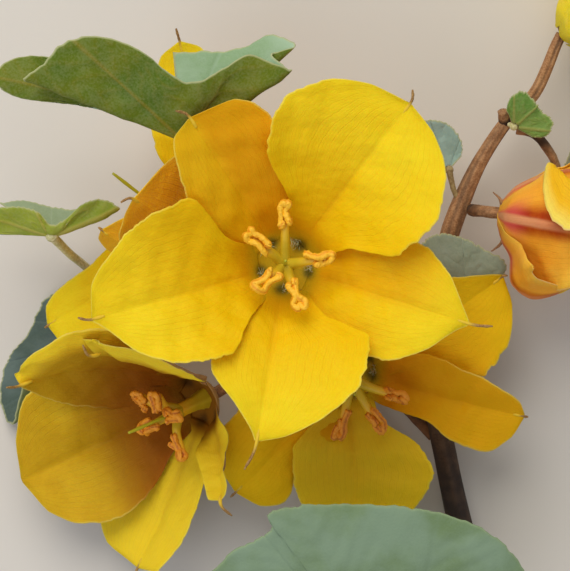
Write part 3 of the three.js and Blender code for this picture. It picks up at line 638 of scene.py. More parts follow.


# A row of a sepal gives the degrees it is turned, the reach and height of its tip and of the point its
# midrib bends towards, and its left and right half-widths at the inner stations. lift raises its margins,
# flare bends them outward and paints them paler as a painted highlight, and tail is the length, turn and
# lift of its tail. tone darkens its halves with painted shade as far as tone_end, inner is how much of the
# deeper colour its foot has, partly its own colour and partly painted shade, and paler lightens it all with
# painted light.
closed = dict(left=[6, 8, 9, 8, 4], right=[6, 8, 9, 8, 4], tail=[2], wrapped=snug)
bloom_sepals = {
    "front": [
        dict(turn=52, tip=[35.8, 16], bend=[20, 15], left=[6, 15, 17.8, 15, 7.8],
             right=[7, 14.8, 16.2, 13.2, 6.6], lift=[2.2, 2.2], tail=[2.6, -38], tone=(0.1, 0)),
        dict(turn=342, tip=[34, 15], bend=[18, 12], left=[7.6, 11, 11, 7.8, 2.4],
             right=[7.6, 10.9, 10.9, 7.4, 1.8], lift=[-1.2, -1.2], tail=[4.4, -15], tone=(0.55, 0)),
        dict(turn=261, tip=[31.6, 15], bend=[17, 13], left=[8, 17, 16.6, 11.4, 4.9],
             right=[7.6, 10.6, 10.2, 4.8, 1.2], lift=[1.6, -1], tail=[5.6, 20]),
        dict(turn=196, tip=[35.4, 15], bend=[19, 14], left=[7.4, 12.9, 12, 8.3, 2],
             right=[7.3, 15.6, 14.8, 10.6, 6], lift=[1.8, 2], tail=[2.6, 30], tone=(0, 0.2)),
        dict(turn=123, tip=[30.6, 17], bend=[16, 13], left=[7, 9.2, 8.2, 6.6, 4.4],
             right=[7, 10.6, 12.4, 11.8, 8.6], lift=[-0.6, -0.6], tail=[3.2, -40, 15], tone=(0.6, 0.95),
             tone_end=3),
    ],
    "nodding": [
        dict(turn=92, tip=[17.6, 24], bend=[15, 11], left=[7, 10, 11, 9, 4], right=[7, 12, 12.5, 9, 4],
             lift=[0.6, 0.6], tail=[3.4, 0, -65], flare=(3, 3)),
        dict(turn=140, tip=[18.6, 31.4], bend=[18, 13], left=[7, 9, 8.5, 6, 2], right=[7, 10, 12.5, 12, 7],
             lift=[0.6, 0.6], tail=[4, 28], flare=(0, 2.6), tone=(0.3, 0.3)),
        dict(turn=204, tip=[24.6, 30.3], bend=[20, 12], left=[8, 12.5, 14, 12.5, 7.5],
             right=[8, 13.5, 15.5, 14.5, 7.6], lift=[1, 1], keel=2.4, tail=None),
        dict(turn=261, tip=[28.8, 20.4], bend=[18, 11], left=[7, 8, 8.5, 7, 5.4],
             right=[7, 13, 14.5, 13, 9.6], lift=[-0.8, -0.8], tail=[1], inner=0.35, paler=0.6),
        dict(turn=320, tip=[19.6, 13], bend=[15, 8], left=[3.6, 2.3, 1.9, 1.6, 1.2],
             right=[5, 4.2, 3.5, 3, 2.5], twist=35, tail=[4.2, -40, -65], inner=0, paler=1, ragged=0.5),
    ],
    "low": [
        dict(turn=34, tip=[34.4, 5], bend=[18, 9], left=[7, 10.4, 8.8, 4.8, 1.8],
             right=[5, 8.4, 13, 10.8, 5.6], tail=[1, 40], tone=(0.1, 0.2), ragged=2),
        dict(turn=349, tip=[33, 11.6], bend=[18, 10], left=[7, 8, 6.6, 5, 2.8],
             right=[4.6, 4.8, 7.2, 8, 4.4], lift=[1, 1], tail=[0.8], tone=(0.5, 0.4), tone_end=2),
        dict(turn=272, tip=[29, 10], bend=[16, 8], left=[5.6, 12, 15, 12.5, 8], right=[7, 11.5, 11.5, 10, 6],
             tail=[2], paler=0.45),
        dict(turn=224, tip=[30.4, 10.6], bend=[16, 9], left=[7, 7, 5.6, 8, 5.4],
             right=[7, 9, 10.5, 10.2, 6.4], lift=[-0.6, -3.4], tail=[1.4]),
        dict(turn=130, tip=[12, 17], bend=[14, 5], left=[7, 8, 8, 7, 3], right=[7, 8, 8, 7, 3], tail=[1.4]),
    ],
    "upper": [
        dict(turn=55, tip=[26.9, 27.6], bend=[16, 12], left=[7, 8.6, 9, 7, 4.4], right=[7, 8.6, 9, 7, 4.4],
             twist=-50, tail=[2.6]),
        dict(turn=318, tip=[19, 21], bend=[14, 10], left=[7, 12.5, 14, 12.5, 7], right=[7, 9, 9, 7.6, 3.4],
             tail=[2.8, 60]),
        dict(turn=277, tip=[13.3, 19.8], bend=[13, 8], left=[7, 9, 9.4, 8.4, 5.4], right=[7, 7, 6, 5, 3],
             tail=[0.8]),
        dict(turn=217, tip=[31.7, 12.3], bend=[17, 8], left=[7, 8, 8.4, 8, 6.6], right=[7, 7, 5.6, 5.2, 3.6],
             twist=45, tail=[0.8]),
        dict(turn=141, tip=[14, 11], bend=[13, 5], left=[7, 9, 9, 7, 3], right=[7, 9, 9, 7, 3], tail=[1]),
    ],
    "fading": [
        dict(turn=180, tip=[11, 27], bend=[16, 10], left=[13, 12.2, 10.2, 7, 3], right=[15, 18, 16, 11, 4],
             keel=1.8, rolled=[10, 5.5], tail=[2], wrapped=eased),
        dict(turn=108, tip=[10, 24], bend=[14, 8], left=[6, 6.6, 6.8, 6, 3.4], right=[6, 8, 9, 8, 4],
             lift=[3, 0.5], tail=[2], wrapped=snug),
        dict(turn=36, tip=[11, 26], bend=[15, 9], **closed),
        dict(turn=252, tip=[12.5, 13.5], bend=[20.5, 1.8], left=[8, 10, 10, 8, 4],
             right=[8.6, 10.6, 9.8, 6.6, 2.8], lift=[0.5, 1], keel=1.2, ragged=0.5, tail=[2], wrapped=loose),
        dict(turn=324, tip=[12, 26], bend=[15, 9], **closed),
    ],
    "young": [
        dict(turn=turn, tip=tip, bend=[13, 8], **closed)
        for turn, tip in ((150, [21, 13]), (222, [21, 12]), (294, [18, 16]), (6, [16, 18]), (78, [18, 16]))
    ],
}

cup_inside = "#c9a614"
pit_brown = "#6c6420"
# The inside and pits of the nodding bloom's cup are darker: painted shade, as that cup lies in shade.
shaded_cup_inside = "#8e5c0c"
shaded_pit = "#5c3c0c"
veining, veining_in, veining_out = effect("sepal_veins", {"Side": 0.0}, ["Veins", "Mottle", "Height"])
wander = noise(veining, 110.0, 2.0)


def vein_lines(count, wandering, width):
    """Thin lines that fan out along a sepal, between 0 and 1."""
    fan = product(veining, veining_in.outputs["Side"], count)
    bent = maths(veining, "FRACT", maths(veining, "ADD", fan, product(veining, wander, wandering)))
    middle = maths(veining, "ABSOLUTE", maths(veining, "SUBTRACT", bent, 0.5))
    return ramp(veining, middle, width, 0.0)


main_veins = product(veining, vein_lines(11.0, 1.6, 0.1), 0.6)
fine_veins = product(veining, vein_lines(34.0, 3.6, 0.25), 0.4)
netting = node(
    veining, "TexVoronoi", {"Vector": places(veining), "Scale": 1000.0}, feature="DISTANCE_TO_EDGE"
)
cells = product(veining, ramp(veining, netting.outputs[0], 0.12, 0.0), 0.25)
lines = maths(veining, "ADD", maths(veining, "ADD", main_veins, fine_veins), cells, clamp=True)
veining.links.new(lines, veining_out.inputs["Veins"])
patches = noise(veining, 130.0, 5.0, Roughness=0.6)
veining.links.new(ramp(veining, patches, 0.34, 0.66), veining_out.inputs["Mottle"])
peel = product(veining, noise(veining, 1500.0, 2.0), 0.5)
relief = maths(veining, "SUBTRACT", peel, product(veining, lines, 0.35))
veining.links.new(relief, veining_out.inputs["Height"])


def sepal_finish(
    name, outer, main, inner, inner_reach, deep, back, back_vein, hairs, cup=cup_inside, pit=pit_brown
):
    """A waxy sepal, deeper in colour towards its foot, with a veined and felted back and a pale rim. Painted
    shade darkens its halves and its midrib crease, and a painted highlight lightens its flared margins.
    """
    material, tree, shader = finish(
        name, main, Roughness=0.55, Subsurface_Weight=0.3, Subsurface_Scale=0.0011, Specular_IOR_Level=0.08
    )
    shader.inputs["Subsurface Radius"].default_value = (1.0, 0.6, 0.1)
    veins = placed(tree, veining, side=mark(tree, "side"))
    hair = placed(tree, felt, grain=2800.0, tufts=700.0)
    # the deeper colour towards the foot is partly the sepal's own and partly painted shade deep in the cup
    depth = marked(tree, "out", inner_reach, inner_reach * 0.25)
    felted = layered(
        tree, back,
        (product(tree, veins.outputs["Veins"], 0.8), back_vein),
        (product(tree, hair.outputs["Fibres"], 0.35), hairs),
    )
    rim = product(tree, marked(tree, "margin", 0.4, 0.1), marked(tree, "out", 12.0, 24.0))
    colour = layered(
        tree, main,
        (marked(tree, "out", 10.0, 30.0), outer),
        (product(tree, veins.outputs["Mottle"], 0.3), main),
        (product(tree, depth, mark(tree, "inner")), inner),
        # painted shade over the halves that tone darkens
        (mark(tree, "amber"), deep),
        # painted highlight on flaring margins, and painted light on sepals set paler
        (marked(tree, "flare", 0.0, 0.7), "#f6d22a"),
        (product(tree, veins.outputs["Veins"], 0.13), back_vein),
        # painted shade in the midrib crease
        (product(tree, mark(tree, "crease_shade"), 0.35), deep),
        (marked(tree, "out", 4.5, 1.0), cup),
        (marked(tree, "pit", 0.1, 1.0), pit),
        (mark(tree, "back"), felted),
        (product(tree, rim, 0.4), "#f3dc74"),
    )
    rough = product(tree, hair.outputs["Height"], mark(tree, "back"))
    colour_and_bump(tree, shader, colour, maths(tree, "ADD", veins.outputs["Height"], rough), felt_bump)
    return material


def fading_finish():
    """A sepal that dries from yellow to orange, red on either side of its pale keel and pink at its foot."""
    material, tree, shader = finish(
        "sepal_fading", "#e8861a", Roughness=0.55, Subsurface_Weight=0.25, Subsurface_Scale=0.001,
        Specular_IOR_Level=0.1,
    )
    shader.inputs["Subsurface Radius"].default_value = (1.0, 0.5, 0.2)
    veins = placed(tree, veining, side=mark(tree, "side"))
    beside = maths(tree, "ABSOLUTE", mark(tree, "side"))
    low_middle = product(tree, marked(tree, "out", 6.0, 2.0), ramp(tree, beside, 0.45, 0.15, 0.1, 0.75))
    ridge = product(tree, marked(tree, "keel", 0.2, 0.8), marked(tree, "out", 18.0, 4.0, 0.25))
    outside = layered(
        tree, "#a43204",
        (ramp(tree, beside, 0.09, 0.3), "#fbb234"),
        (ramp(tree, beside, 0.5, 0.95), "#ffc844"),
        (product(tree, veins.outputs["Mottle"], 0.4), "#f8a42a"),
        (low_middle, "#dc5458"),
        (ridge, "#dd9a6c"),
    )
    rim = product(tree, marked(tree, "margin", 0.4, 0.1), marked(tree, "out", 7.0, 14.0))
    colour = layered(
        tree, "#f4bc1c",
        (marked(tree, "margin", 4.5, 0.2), "#f6dc60"),
        (mark(tree, "back"), outside),
        (product(tree, veins.outputs["Veins"], 0.2), "#a84a14"),
        (product(tree, rim, 0.6), "#f1c98a"),
    )
    colour_and_bump(tree, shader, colour, veins.outputs["Height"], 0.0001)
    return material


waxy = ("#f6d620", "#f0c206", "#eab40a", 9.0, "#dc9c06")
yellow = sepal_finish("sepal_yellow", *waxy, "#ffc222", "#de8c18", "#f6c040")
young = sepal_finish("sepal_young", *waxy, "#ffe224", "#e0be30", "#f8e462")
# The low bloom's sepals: a deeper, more orange copy of the yellow finish, partly the bloom's own colour and
# partly painted shade, as the bloom lies in the front bloom's shadow.
golden = sepal_finish(
    "sepal_golden_shaded", "#f4c612", "#efb60a", "#dc9408", 16.0, "#cf8808", "#d59c18", "#a8690e", "#d8ac48"
)
# The nodding bloom's sepals: a darker amber copy of the yellow finish, partly the bloom's own deeper colour
# and partly painted shade, as its mouth is turned from the light.
amber = sepal_finish(
    "sepal_amber_shade", "#d6b01e", "#ac7c0a", "#96540a", 26.0, "#96540a", "#a88a5c", "#8a6638", "#bda478",
    cup=shaded_cup_inside, pit=shaded_pit,
)
orange = fading_finish()
bloom_finish = {
    "front": yellow, "nodding": amber, "low": golden, "upper": yellow, "fading": orange, "young": young,
}

tail_brown, tree, shader = finish("tail_brown", "#8a5c30", Roughness=0.7)
tail_hair = placed(tree, felt, grain=4000.0, tufts=900.0)
colour = mixed(tree, tail_hair.outputs["Fibres"], "#7d5626", "#b48e50")
colour = mixed(tree, marked(tree, "along", 0.3, 0.62), "#e2bc24", colour)
colour_and_bump(tree, shader, colour, tail_hair.outputs["Height"], 0.00008)


def into_place(shape, bloom):
    """The shape moved from its bloom's own frame, where the bloom faces up, to the branch."""
    foot, facing = bloom_places[bloom]
    turned = np.array(Vector((0, 0, 1)).rotation_difference(Vector(facing)).to_matrix())
    return {**shape, "points": shape["points"] @ turned.T + foot}


def bloom_piece(bloom, part, shapes, material, group="calyx"):
    """One object of a bloom, from shapes in the bloom's own frame."""
    slot_name = "stamen" if group == "stamens" else "sepal_fading" if bloom == "fading" else "sepal"
    moved = [into_place(shape, bloom) for shape in shapes]
    piece(f"bloom_{bloom}_{part}", moved, material, slot_name, f"bloom_{bloom}_{group}")


for bloom, sepals in bloom_sepals.items():
    grid = fine_grid if bloom == "front" else plain_grid
    turns = [sepal["turn"] for sepal in sepals]
    tails = []
    for number, sepal in enumerate(sepals, 1):
        seed = 100 * sorted(bloom_places).index(bloom) + 7 * number
        shape, surface = sepal_shape(sepal, turns, number, seed, grid)
        bloom_piece(bloom, f"sepal_{number}", [shape], bloom_finish[bloom])
        if sepal["tail"]:
            tails.append(tail_shape(surface, *sepal["tail"]))
    bloom_piece(bloom, "tails", tails, tail_brown)

# Bracts. Two narrow, withered bracts curl away from the foot of the fading bloom. They are felted like the
# twigs, thickest near the foot and drawn out to a point.
bract_paths = [
    [[42.6, 13.4, 19.2], [40.9, 14.6, 19.6], [40.2, 16.2, 19.4], [39.0, 17.5, 18.6]],
    [[43.2, 10.6, 18.6], [41.4, 9.6, 19.0], [40.4, 7.8, 18.6], [38.8, 6.4, 17.6]],
]
bract_radii = [0.3, 0.5, 0.42, 0.3, 0.2, 0.1]
bracts = [rod(path, bract_radii, 12, 30, bark_relief(70, 0.06)) for path in bract_paths]
piece("bloom_fading_bracts", bracts, twig_felt, "sepal_fading", "bloom_fading_calyx")

# Cups. The sepals of a bloom are joined at their feet into a shallow felted cup on the end of its stalk.
# Inside, a dark nectar pit with a tuft of white hairs lies at the foot of each sepal.
cup_outside = [
    [0.02, -1], [1.2, -1], [1.9, -0.8], [2.8, -0.25], [3.8, 0.55], [4.7, 1.35], [5.4, 2.05], [5.7, 2.5]
]
cup_sides = 90
cup_rim = 6
cup_lumps = 0.08
tuft_radius = 4.9
tuft_aside = 14  # in degrees from the middle of the sepal
tuft_hairs = 45
hair_spread = 0.5
hair_droop = 0.35
hair_lengths = (0.6, 1.2)
hair_radii = [0.05, 0.04, 0.015]
hair_sunk = 0.25


def cup_shape(turns, seed):
    angle = np.arange(cup_sides) * 2 * math.pi / cup_sides
    inside = [[r, z] for r, z in zip(cup_radii, cup_levels) if 0 < r < cup_rim]
    profile = np.array([*cup_outside, *inside[::-1], [cup_outside[0][0], cup_levels[0]]])
    radius, level = profile[:, :1] + 0 * angle, profile[:, 1:] + 0 * angle
    inner = (np.arange(len(profile)) >= len(cup_outside))[:, None] * np.ones_like(angle)
    pit = inner * pit_share(turns, angle, radius)
    lumps = cup_lumps * ripple(seed, 3 * np.cos(angle) + 0 * radius, 3 * np.sin(angle), level) * (1 - inner)
    radius = radius + lumps * smoothstep(1, 2, radius)
    level = level - pit_depth * pit
    return {
        "points": np.stack([radius * np.cos(angle), radius * np.sin(angle), level], axis=-1).reshape(-1, 3),
        "faces": ring_faces(len(profile) - 1, cup_sides),
        "uv": np.zeros((radius.size, 2)),
        "marks": {"pit": pit.ravel(), "outside": (1 - inner).ravel(), "rise": level.ravel()},
    }


def cup_finish(name, outside, rim, inside, pit):
    """Felt outside, paler towards its rim, and bare inside with dark pits."""
    material, tree, shader = finish(name, outside, Roughness=0.8, Specular_IOR_Level=0.2)
    hair = placed(tree, felt, grain=2600.0, tufts=600.0)
    felted = layered(
        tree, outside,
        (marked(tree, "rise", -0.8, 2.2), rim),
        (product(tree, hair.outputs["Fibres"], 0.5), felt_pale),
    )
    colour = layered(tree, inside, (marked(tree, "pit", 0.1, 1.0), pit), (mark(tree, "outside"), felted))
    colour_and_bump(tree, shader, colour, hair.outputs["Height"], felt_bump)
    return material


cup_yellow = cup_finish("cup_felt", "#a9854e", "#d0a430", cup_inside, pit_brown)
# the nodding bloom's cup, darker inside with painted shade
cup_shaded = cup_finish("cup_shaded", "#a9854e", "#b08a4c", shaded_cup_inside, shaded_pit)
cup_fading = cup_finish("cup_fading", "#b9826a", "#d8666a", "#d8741c", "#6a3a18")
hair_white, tree, shader = finish(
    "pit_hair", "#d6d3a6", Roughness=0.6, Subsurface_Weight=0.3, Subsurface_Scale=0.0003
)


def hair_tuft(turn, seed):
    """A tuft of fine hairs, each a thin bent cone."""
    rng = np.random.default_rng(seed)
    middle = heading(turn) * tuft_radius
    level = np.interp(tuft_radius, cup_radii, cup_levels) - hair_sunk
    hairs = []
    for _ in range(tuft_hairs):
        root = middle + [*rng.normal(0, hair_spread, 2), level]
        way = unit(np.array([*rng.normal(0, hair_spread, 2), 1.0]) - middle / tuft_radius * 0.4)
        droop = np.array([*rng.normal(0, hair_droop, 2), 0])
        length = rng.uniform(*hair_lengths)
        path = [root, root + way * length * 0.5, root + way * length + droop]
        hairs.append(rod(path, hair_radii, 4, 4))
    return hairs


for bloom, sepals in bloom_sepals.items():
    turns = [sepal["turn"] for sepal in sepals]
    material = {"fading": cup_fading, "nodding": cup_shaded}.get(bloom, cup_yellow)
    bloom_piece(bloom, "cup", [cup_shape(turns, 900 + len(bloom))], material)
    if bloom in ("front", "low", "upper"):
        hairs = [hair for turn in turns for hair in hair_tuft(turn + tuft_aside, 950 + turn)]
        bloom_piece(bloom, "pit_hairs", hairs, hair_white)

# Stamens. Five filaments are joined below into a column, part at its top and each end in a fat golden anther
# folded over like a hairpin, its two pollen sacs side by side. The slender green style stands up between
# them.
column_radius = 1.35
arm_radius = 0.74
anther_radius = 0.62
anther_wobble = 0.24
pollen_grains = 0.09
column_grains = 0.05
flute_depth = 0.08
style_radii = [0.42, 0.34, 0.3, 0.3, 0.36, 0.24]
default_arms = [[20, 7, 3], [90, 7, 3], [165, 7, 3], [240, 7, 3], [305, 7, 3]]
# for each bloom the height, the turn, reach and rise of each arm, and the length, turn and lean of the style
columns_of = {
    "front": (8, [[90, 11, 3], [140, 8.6, 3], [223, 6.4, 3], [290, 8, 3], [8, 8.6, 3]], [5, 80, 0.6]),
    "nodding": (9, [[80, 6, 3], [140, 7, 3], [210, 6, 3], [300, 8, 2], [20, 6, 2]], [10, 180, 1]),
    "low": (9, [[345, 10, 2], [302, 10, 2], [256, 10, 2], [190, 6, 2], [100, 6, 2]], [5, 280, 1]),
    "upper": (9, [[turn, reach - 1, rise] for turn, reach, rise in default_arms], [14, 320, 2]),
    "fading": (9, default_arms, [6, 0, 1]),
    "young": (7, [[turn, 6.4, rise] for turn, _, rise in default_arms], [5, 0, 1]),
}


def two_sacs(turn):
    """The section of an anther: two pollen sacs with a groove between them on each side."""
    return 0.7 + 0.32 * np.abs(np.cos(turn)) ** 0.7


def grainy(seed, depth):
    """Grains over the whole of a rod."""

    def relief(turn, along):
        return depth * ripple(seed, np.cos(turn) * 2, np.sin(turn) * 2, along * 16)

    return relief


def fluted(turn):
    """The section of a column, one low ridge for each filament in it."""
    return 1 + flute_depth * np.cos(5 * turn)


def column_shapes(height, arms, style, seed):
    """The column with its filaments, the anthers, and the style."""
    waist = column_radius * np.array([1.5, 1.05, 0.95, 1.05])
    trunk = [[0, 0, 0.6], [0, 0, height / 2], [0, 0, height]]
    shapes = [rod(trunk, waist, 30, 24, grainy(seed, column_grains), fluted)]
    anthers = []
    for number, (turn, reach, rise) in enumerate(arms):
        out = heading(turn)
        side = np.array([-out[1], out[0], 0])

        def at(r, s, z):
            return out * r + side * s + [0, 0, height + z]

        filament = [[0, -1.6], [reach * 0.2, -0.2], [reach * 0.45, rise * 0.6], [reach - 1, rise]]
        filament = [at(r, 0, z) for r, z in filament]
        shapes.append(rod(filament, arm_radius * np.array([1.7, 1.3, 1.1, 1, 1]), 16, 30))
        rng = np.random.default_rng(seed + number)
        near, far = reach - rng.uniform(3.4, 5.2), reach - rng.uniform(2.4, 4.6)
        anther = [
            [near + 0.8, 0.6, 0.9], [near, 0.85, 0.5], [(near + reach) / 2, 0.5, 0.8],
            [reach - 0.6, 0.75, 0.8], [reach + 0.15, 0.42, 1.1], [reach - 0.5, -0.05, 1.1],
            [reach + 0.1, -0.5, 1.1], [reach - 0.9, -0.78, 0.7], [(far + reach) / 2, -0.45, 0.6],
            [far, -0.85, 0.5], [far + 0.4, -0.6, 1.0],
        ]
        anther = [at(r, s, rise + z) + rng.normal(0, anther_wobble, 3) for r, s, z in anther]
        swell = anther_radius * np.array([0.6, 1.1, 0.9, 1.05, 1.2, 0.9, 1.2, 0.95, 1.1, 1.1, 0.6])
        anthers.append(rod(anther, swell, 20, 90, grainy(seed + 31 * number, pollen_grains), two_sacs))
    length, turn, lean = style
    leaning = heading(turn) * lean
    points = [leaning * s + [0, 0, height - 1 + (length + 1) * s] for s in (0, 0.5, 1)]
    return shapes, anthers, rod(points, style_radii, 14, 30)


def anther_finish(name, crease_shade, ridge, pollen_colour):
    """Grains of pollen over sacs, with painted shade darkening the groove between them."""
    material, tree, shader = finish(name, ridge, Roughness=0.55)
    pollen = noise(tree, 2400.0, 3.0)
    # painted shade: the groove between the sacs takes the darker colour
    sacs = mixed(tree, marked(tree, "swell", 0.72, 0.98), crease_shade, ridge)
    colour = mixed(tree, ramp(tree, pollen, 0.45, 0.7, 0.0, 0.35), sacs, pollen_colour)
    colour_and_bump(tree, shader, colour, pollen, 0.00015)
    return material


filament_finish, tree, shader = finish("filament", "#c8aa18", Roughness=0.5)
grain = noise(tree, 900.0, 4.0)
colour = mixed(tree, marked(tree, "along", 0.3, 0.9), "#c8b018", "#f0b814")
colour = mixed(tree, product(tree, grain, 0.25), colour, "#f0c030")
colour_and_bump(tree, shader, colour, grain, 0.0001)
style_finish, tree, shader = finish("style", "#b4b01e", Roughness=0.45)
anther_golden = anther_finish("anther", "#ee9c10", "#fcc022", "#ffc83c")
# A darker, more orange copy for the nodding and low blooms: painted shade for their anthers, which lie in
# shade.
anther_shaded = anther_finish("anther_shaded", "#c46a08", "#ee9a18", "#f4aa34")
for bloom, column in columns_of.items():
    shapes, anthers, style = column_shapes(*column, seed=500 + 13 * len(bloom))
    pollen_finish = anther_shaded if bloom in ("nodding", "low") else anther_golden
    bloom_piece(bloom, "column", shapes, filament_finish, "stamens")
    bloom_piece(bloom, "anthers", anthers, pollen_finish, "stamens")
    bloom_piece(bloom, "style", [style], style_finish, "stamens")

# Leaves. Thick felted blades, shallowly lobed and cupped, each a fan of veins from the end of its stalk. The
# upper face is grey-green, the underside olive green and tawny along its veins, with a pale felted rim.
leaf_thickness = 0.4
leaf_rim_share = 0.4  # of that thickness, at the rim
leaf_rim_width = 0.7
leaf_grid = (56, 180)
jag_depth = 0.2
side_vein_gap = 3.8
rib_depth = 0.16
side_vein_depth = 0.05
crumple_depth = 0.14
leaf_stalk_radius = 0.75
blade_start = 0.9


def blade_surface(base, rim, bulge, bow):
    root = np.array(base, float)

    def rib(v):
        return curve_at(rim, (v + 1) / 2) - root

    def surface(u, v):
        across = rib(np.clip(v + 0.02, -1, 1)) - rib(np.clip(v - 0.02, -1, 1))
        outward = unit(np.cross(across, rib(v)))
        arch = 4 * u * (1 - u)
        swollen = (bulge * arch * (1 - v * v))[..., None] * outward
        return root + rib(v) * u[..., None] + swollen + (arch * np.maximum(-v, 0))[..., None] * np.array(bow)

    return surface, rib


def leaf_shapes(base, rim, stalk, ribs, seed, bulge=0, bow=(0, 0, 0), slender=1, flipped=False):
    """A blade with its ribs, side veins and quilting, the knuckle at its foot, and its stalk."""
    surface, rib = blade_surface(base, rim, bulge, bow)
    rows, columns = leaf_grid
    along, v = np.meshgrid(np.linspace(0, 1, rows), np.linspace(-1, 1, columns), indexing="ij")
    length = np.linalg.norm(rib(v[0]), axis=-1)[None, :]
    u = (blade_start / length) * (1 - along) + along
    jagged = jag_depth * (ripple(seed, v * 7) * 0.5 + ripple(seed + 1, v * 20) * 0.5) / length
    spots = surface(u * (1 + jagged * u**4), v)
    run = np.r_[0, np.cumsum(np.linalg.norm(np.diff(spots[-1], axis=0), axis=1))]
    round_blade = run[None, :] * u
    reach = u * length
    rib_runs = np.interp(ribs, v[0], run)
    nearest = np.abs(round_blade[..., None] - rib_runs * u[..., None]).min(axis=-1)
    vein = np.exp(-((nearest / (0.2 + 0.2 * (1 - along))) ** 2))
    chevron = (reach - nearest * 0.9) / side_vein_gap + 0.15 * ripple(seed + 2, u * 3, v * 4)
    grown = smoothstep(0.15, 0.6, u)
    side_vein = np.exp(-((((chevron % 1) - 0.5) / 0.08) ** 2)) * smoothstep(0.3, 1.2, nearest) * grown
    quilt = 0.1 * (1 - np.exp(-((nearest / 1.6) ** 2))) + 0.05 * np.cos(2 * math.pi * chevron)
    crumple = crumple_depth * ripple(seed + 3, spots[..., 0] / 9, spots[..., 1] / 9, spots[..., 2] / 9)
    outward = -1 if flipped else 1
    height = outward * (quilt * grown - rib_depth * vein - side_vein_depth * side_vein) + crumple * grown
    spots = spots + height[..., None] * normals_of(spots)
    margin = np.minimum((1 - along) * length, np.minimum(round_blade, run[-1] * u - round_blade))
    marks = {"vein": vein, "side_vein": side_vein, "margin": margin}
    full = np.clip(margin / leaf_rim_width, 0, 1)
    thickness = leaf_thickness * (leaf_rim_share + (1 - leaf_rim_share) * full)
    blade = sheet(spots, thickness, np.stack([v / 2 + 0.5, along], axis=-1), marks)
    if flipped:
        blade["marks"]["back"] = 1 - blade["marks"]["back"]
    foot = np.array(base, float)
    ends = [foot + [0, 0, 0.9 * slender * share] for share in (-1, 0, 1)]
    knuckle = rod(ends, slender * np.array([0.3, 1.0, 1.2, 1.0, 0.3]), 20, 12)
    radii = leaf_stalk_radius * slender * np.array([0.9, 1, 1.2])
    stem = rod([*stalk, base], radii, 16, 50, bark_relief(seed, 0.04))
    for shape in (knuckle, stem):
        shape["marks"] = {"stalk": np.ones(len(shape["points"]))}
    return [blade, knuckle, stem]


def leaf_finish(name, upper, bloomed, under, under_deep, tawny, rim="#b9bc8c", stalk=("#bdb67a", "#dedaae")):
    """bloomed is the pale waxy bloom on the upper face, and tawny the colour of the veins below."""
    material, tree, shader = finish(name, upper, Roughness=0.75, Specular_IOR_Level=0.25)
    hair = placed(tree, felt, grain=2400.0, tufts=420.0)
    patchy = ramp(tree, noise(tree, 90.0, 4.0), 0.35, 0.65)
    side_veins = product(tree, mark(tree, "side_vein"), 0.35)
    veined = maths(tree, "MAXIMUM", mark(tree, "vein"), side_veins)
    below = layered(
        tree, under,
        (patchy, under_deep),
        (product(tree, veined, 0.75), tawny),
        (product(tree, hair.outputs["Fibres"], 0.15), rim),
    )
    colour = layered(
        tree, upper,
        (patchy, bloomed),
        (product(tree, hair.outputs["Fibres"], 0.25), bloomed),
        (product(tree, mark(tree, "vein"), 0.5), bloomed),
        (mark(tree, "back"), below),
        (marked(tree, "margin", 0.5, 0.05, 0.0, 0.8), rim),
        (mark(tree, "stalk"), mixed(tree, hair.outputs["Fibres"], *stalk)),
    )
    colour_and_bump(tree, shader, colour, hair.outputs["Height"], felt_bump)
    return material


leaf_green = leaf_finish("leaf_green", "#8aa87c", "#a4bda0", "#69740c", "#526c10", "#887a1c")
leaf_left = leaf_finish("leaf_left", "#8fa07a", "#a5b494", "#98a42e", "#86982c", "#b0a648")
leaf_joint = leaf_finish("leaf_joint", "#6f9450", "#8fae7c", "#7c9a44", "#64903a", "#93974a")
leaf_grey = leaf_finish("leaf_grey", "#8c9a82", "#a6b4a2", "#7d8648", "#6f7a40", "#8f8650")
bare_back = ("#6d7a45", "#5f6f3c", "#8a8450")
leaf_blue = leaf_finish("leaf_blue", "#48584e", "#60706a", *bare_back)
leaf_mint = leaf_finish("leaf_mint", "#88a69a", "#a1bbb2", *bare_back, stalk=("#8a7248", "#ad9a6c"))
leaf_pale = leaf_finish("leaf_pale", "#70875c", "#82997e", "#6f8a5a", "#647e50", "#9aa070", rim="#8fa47c")

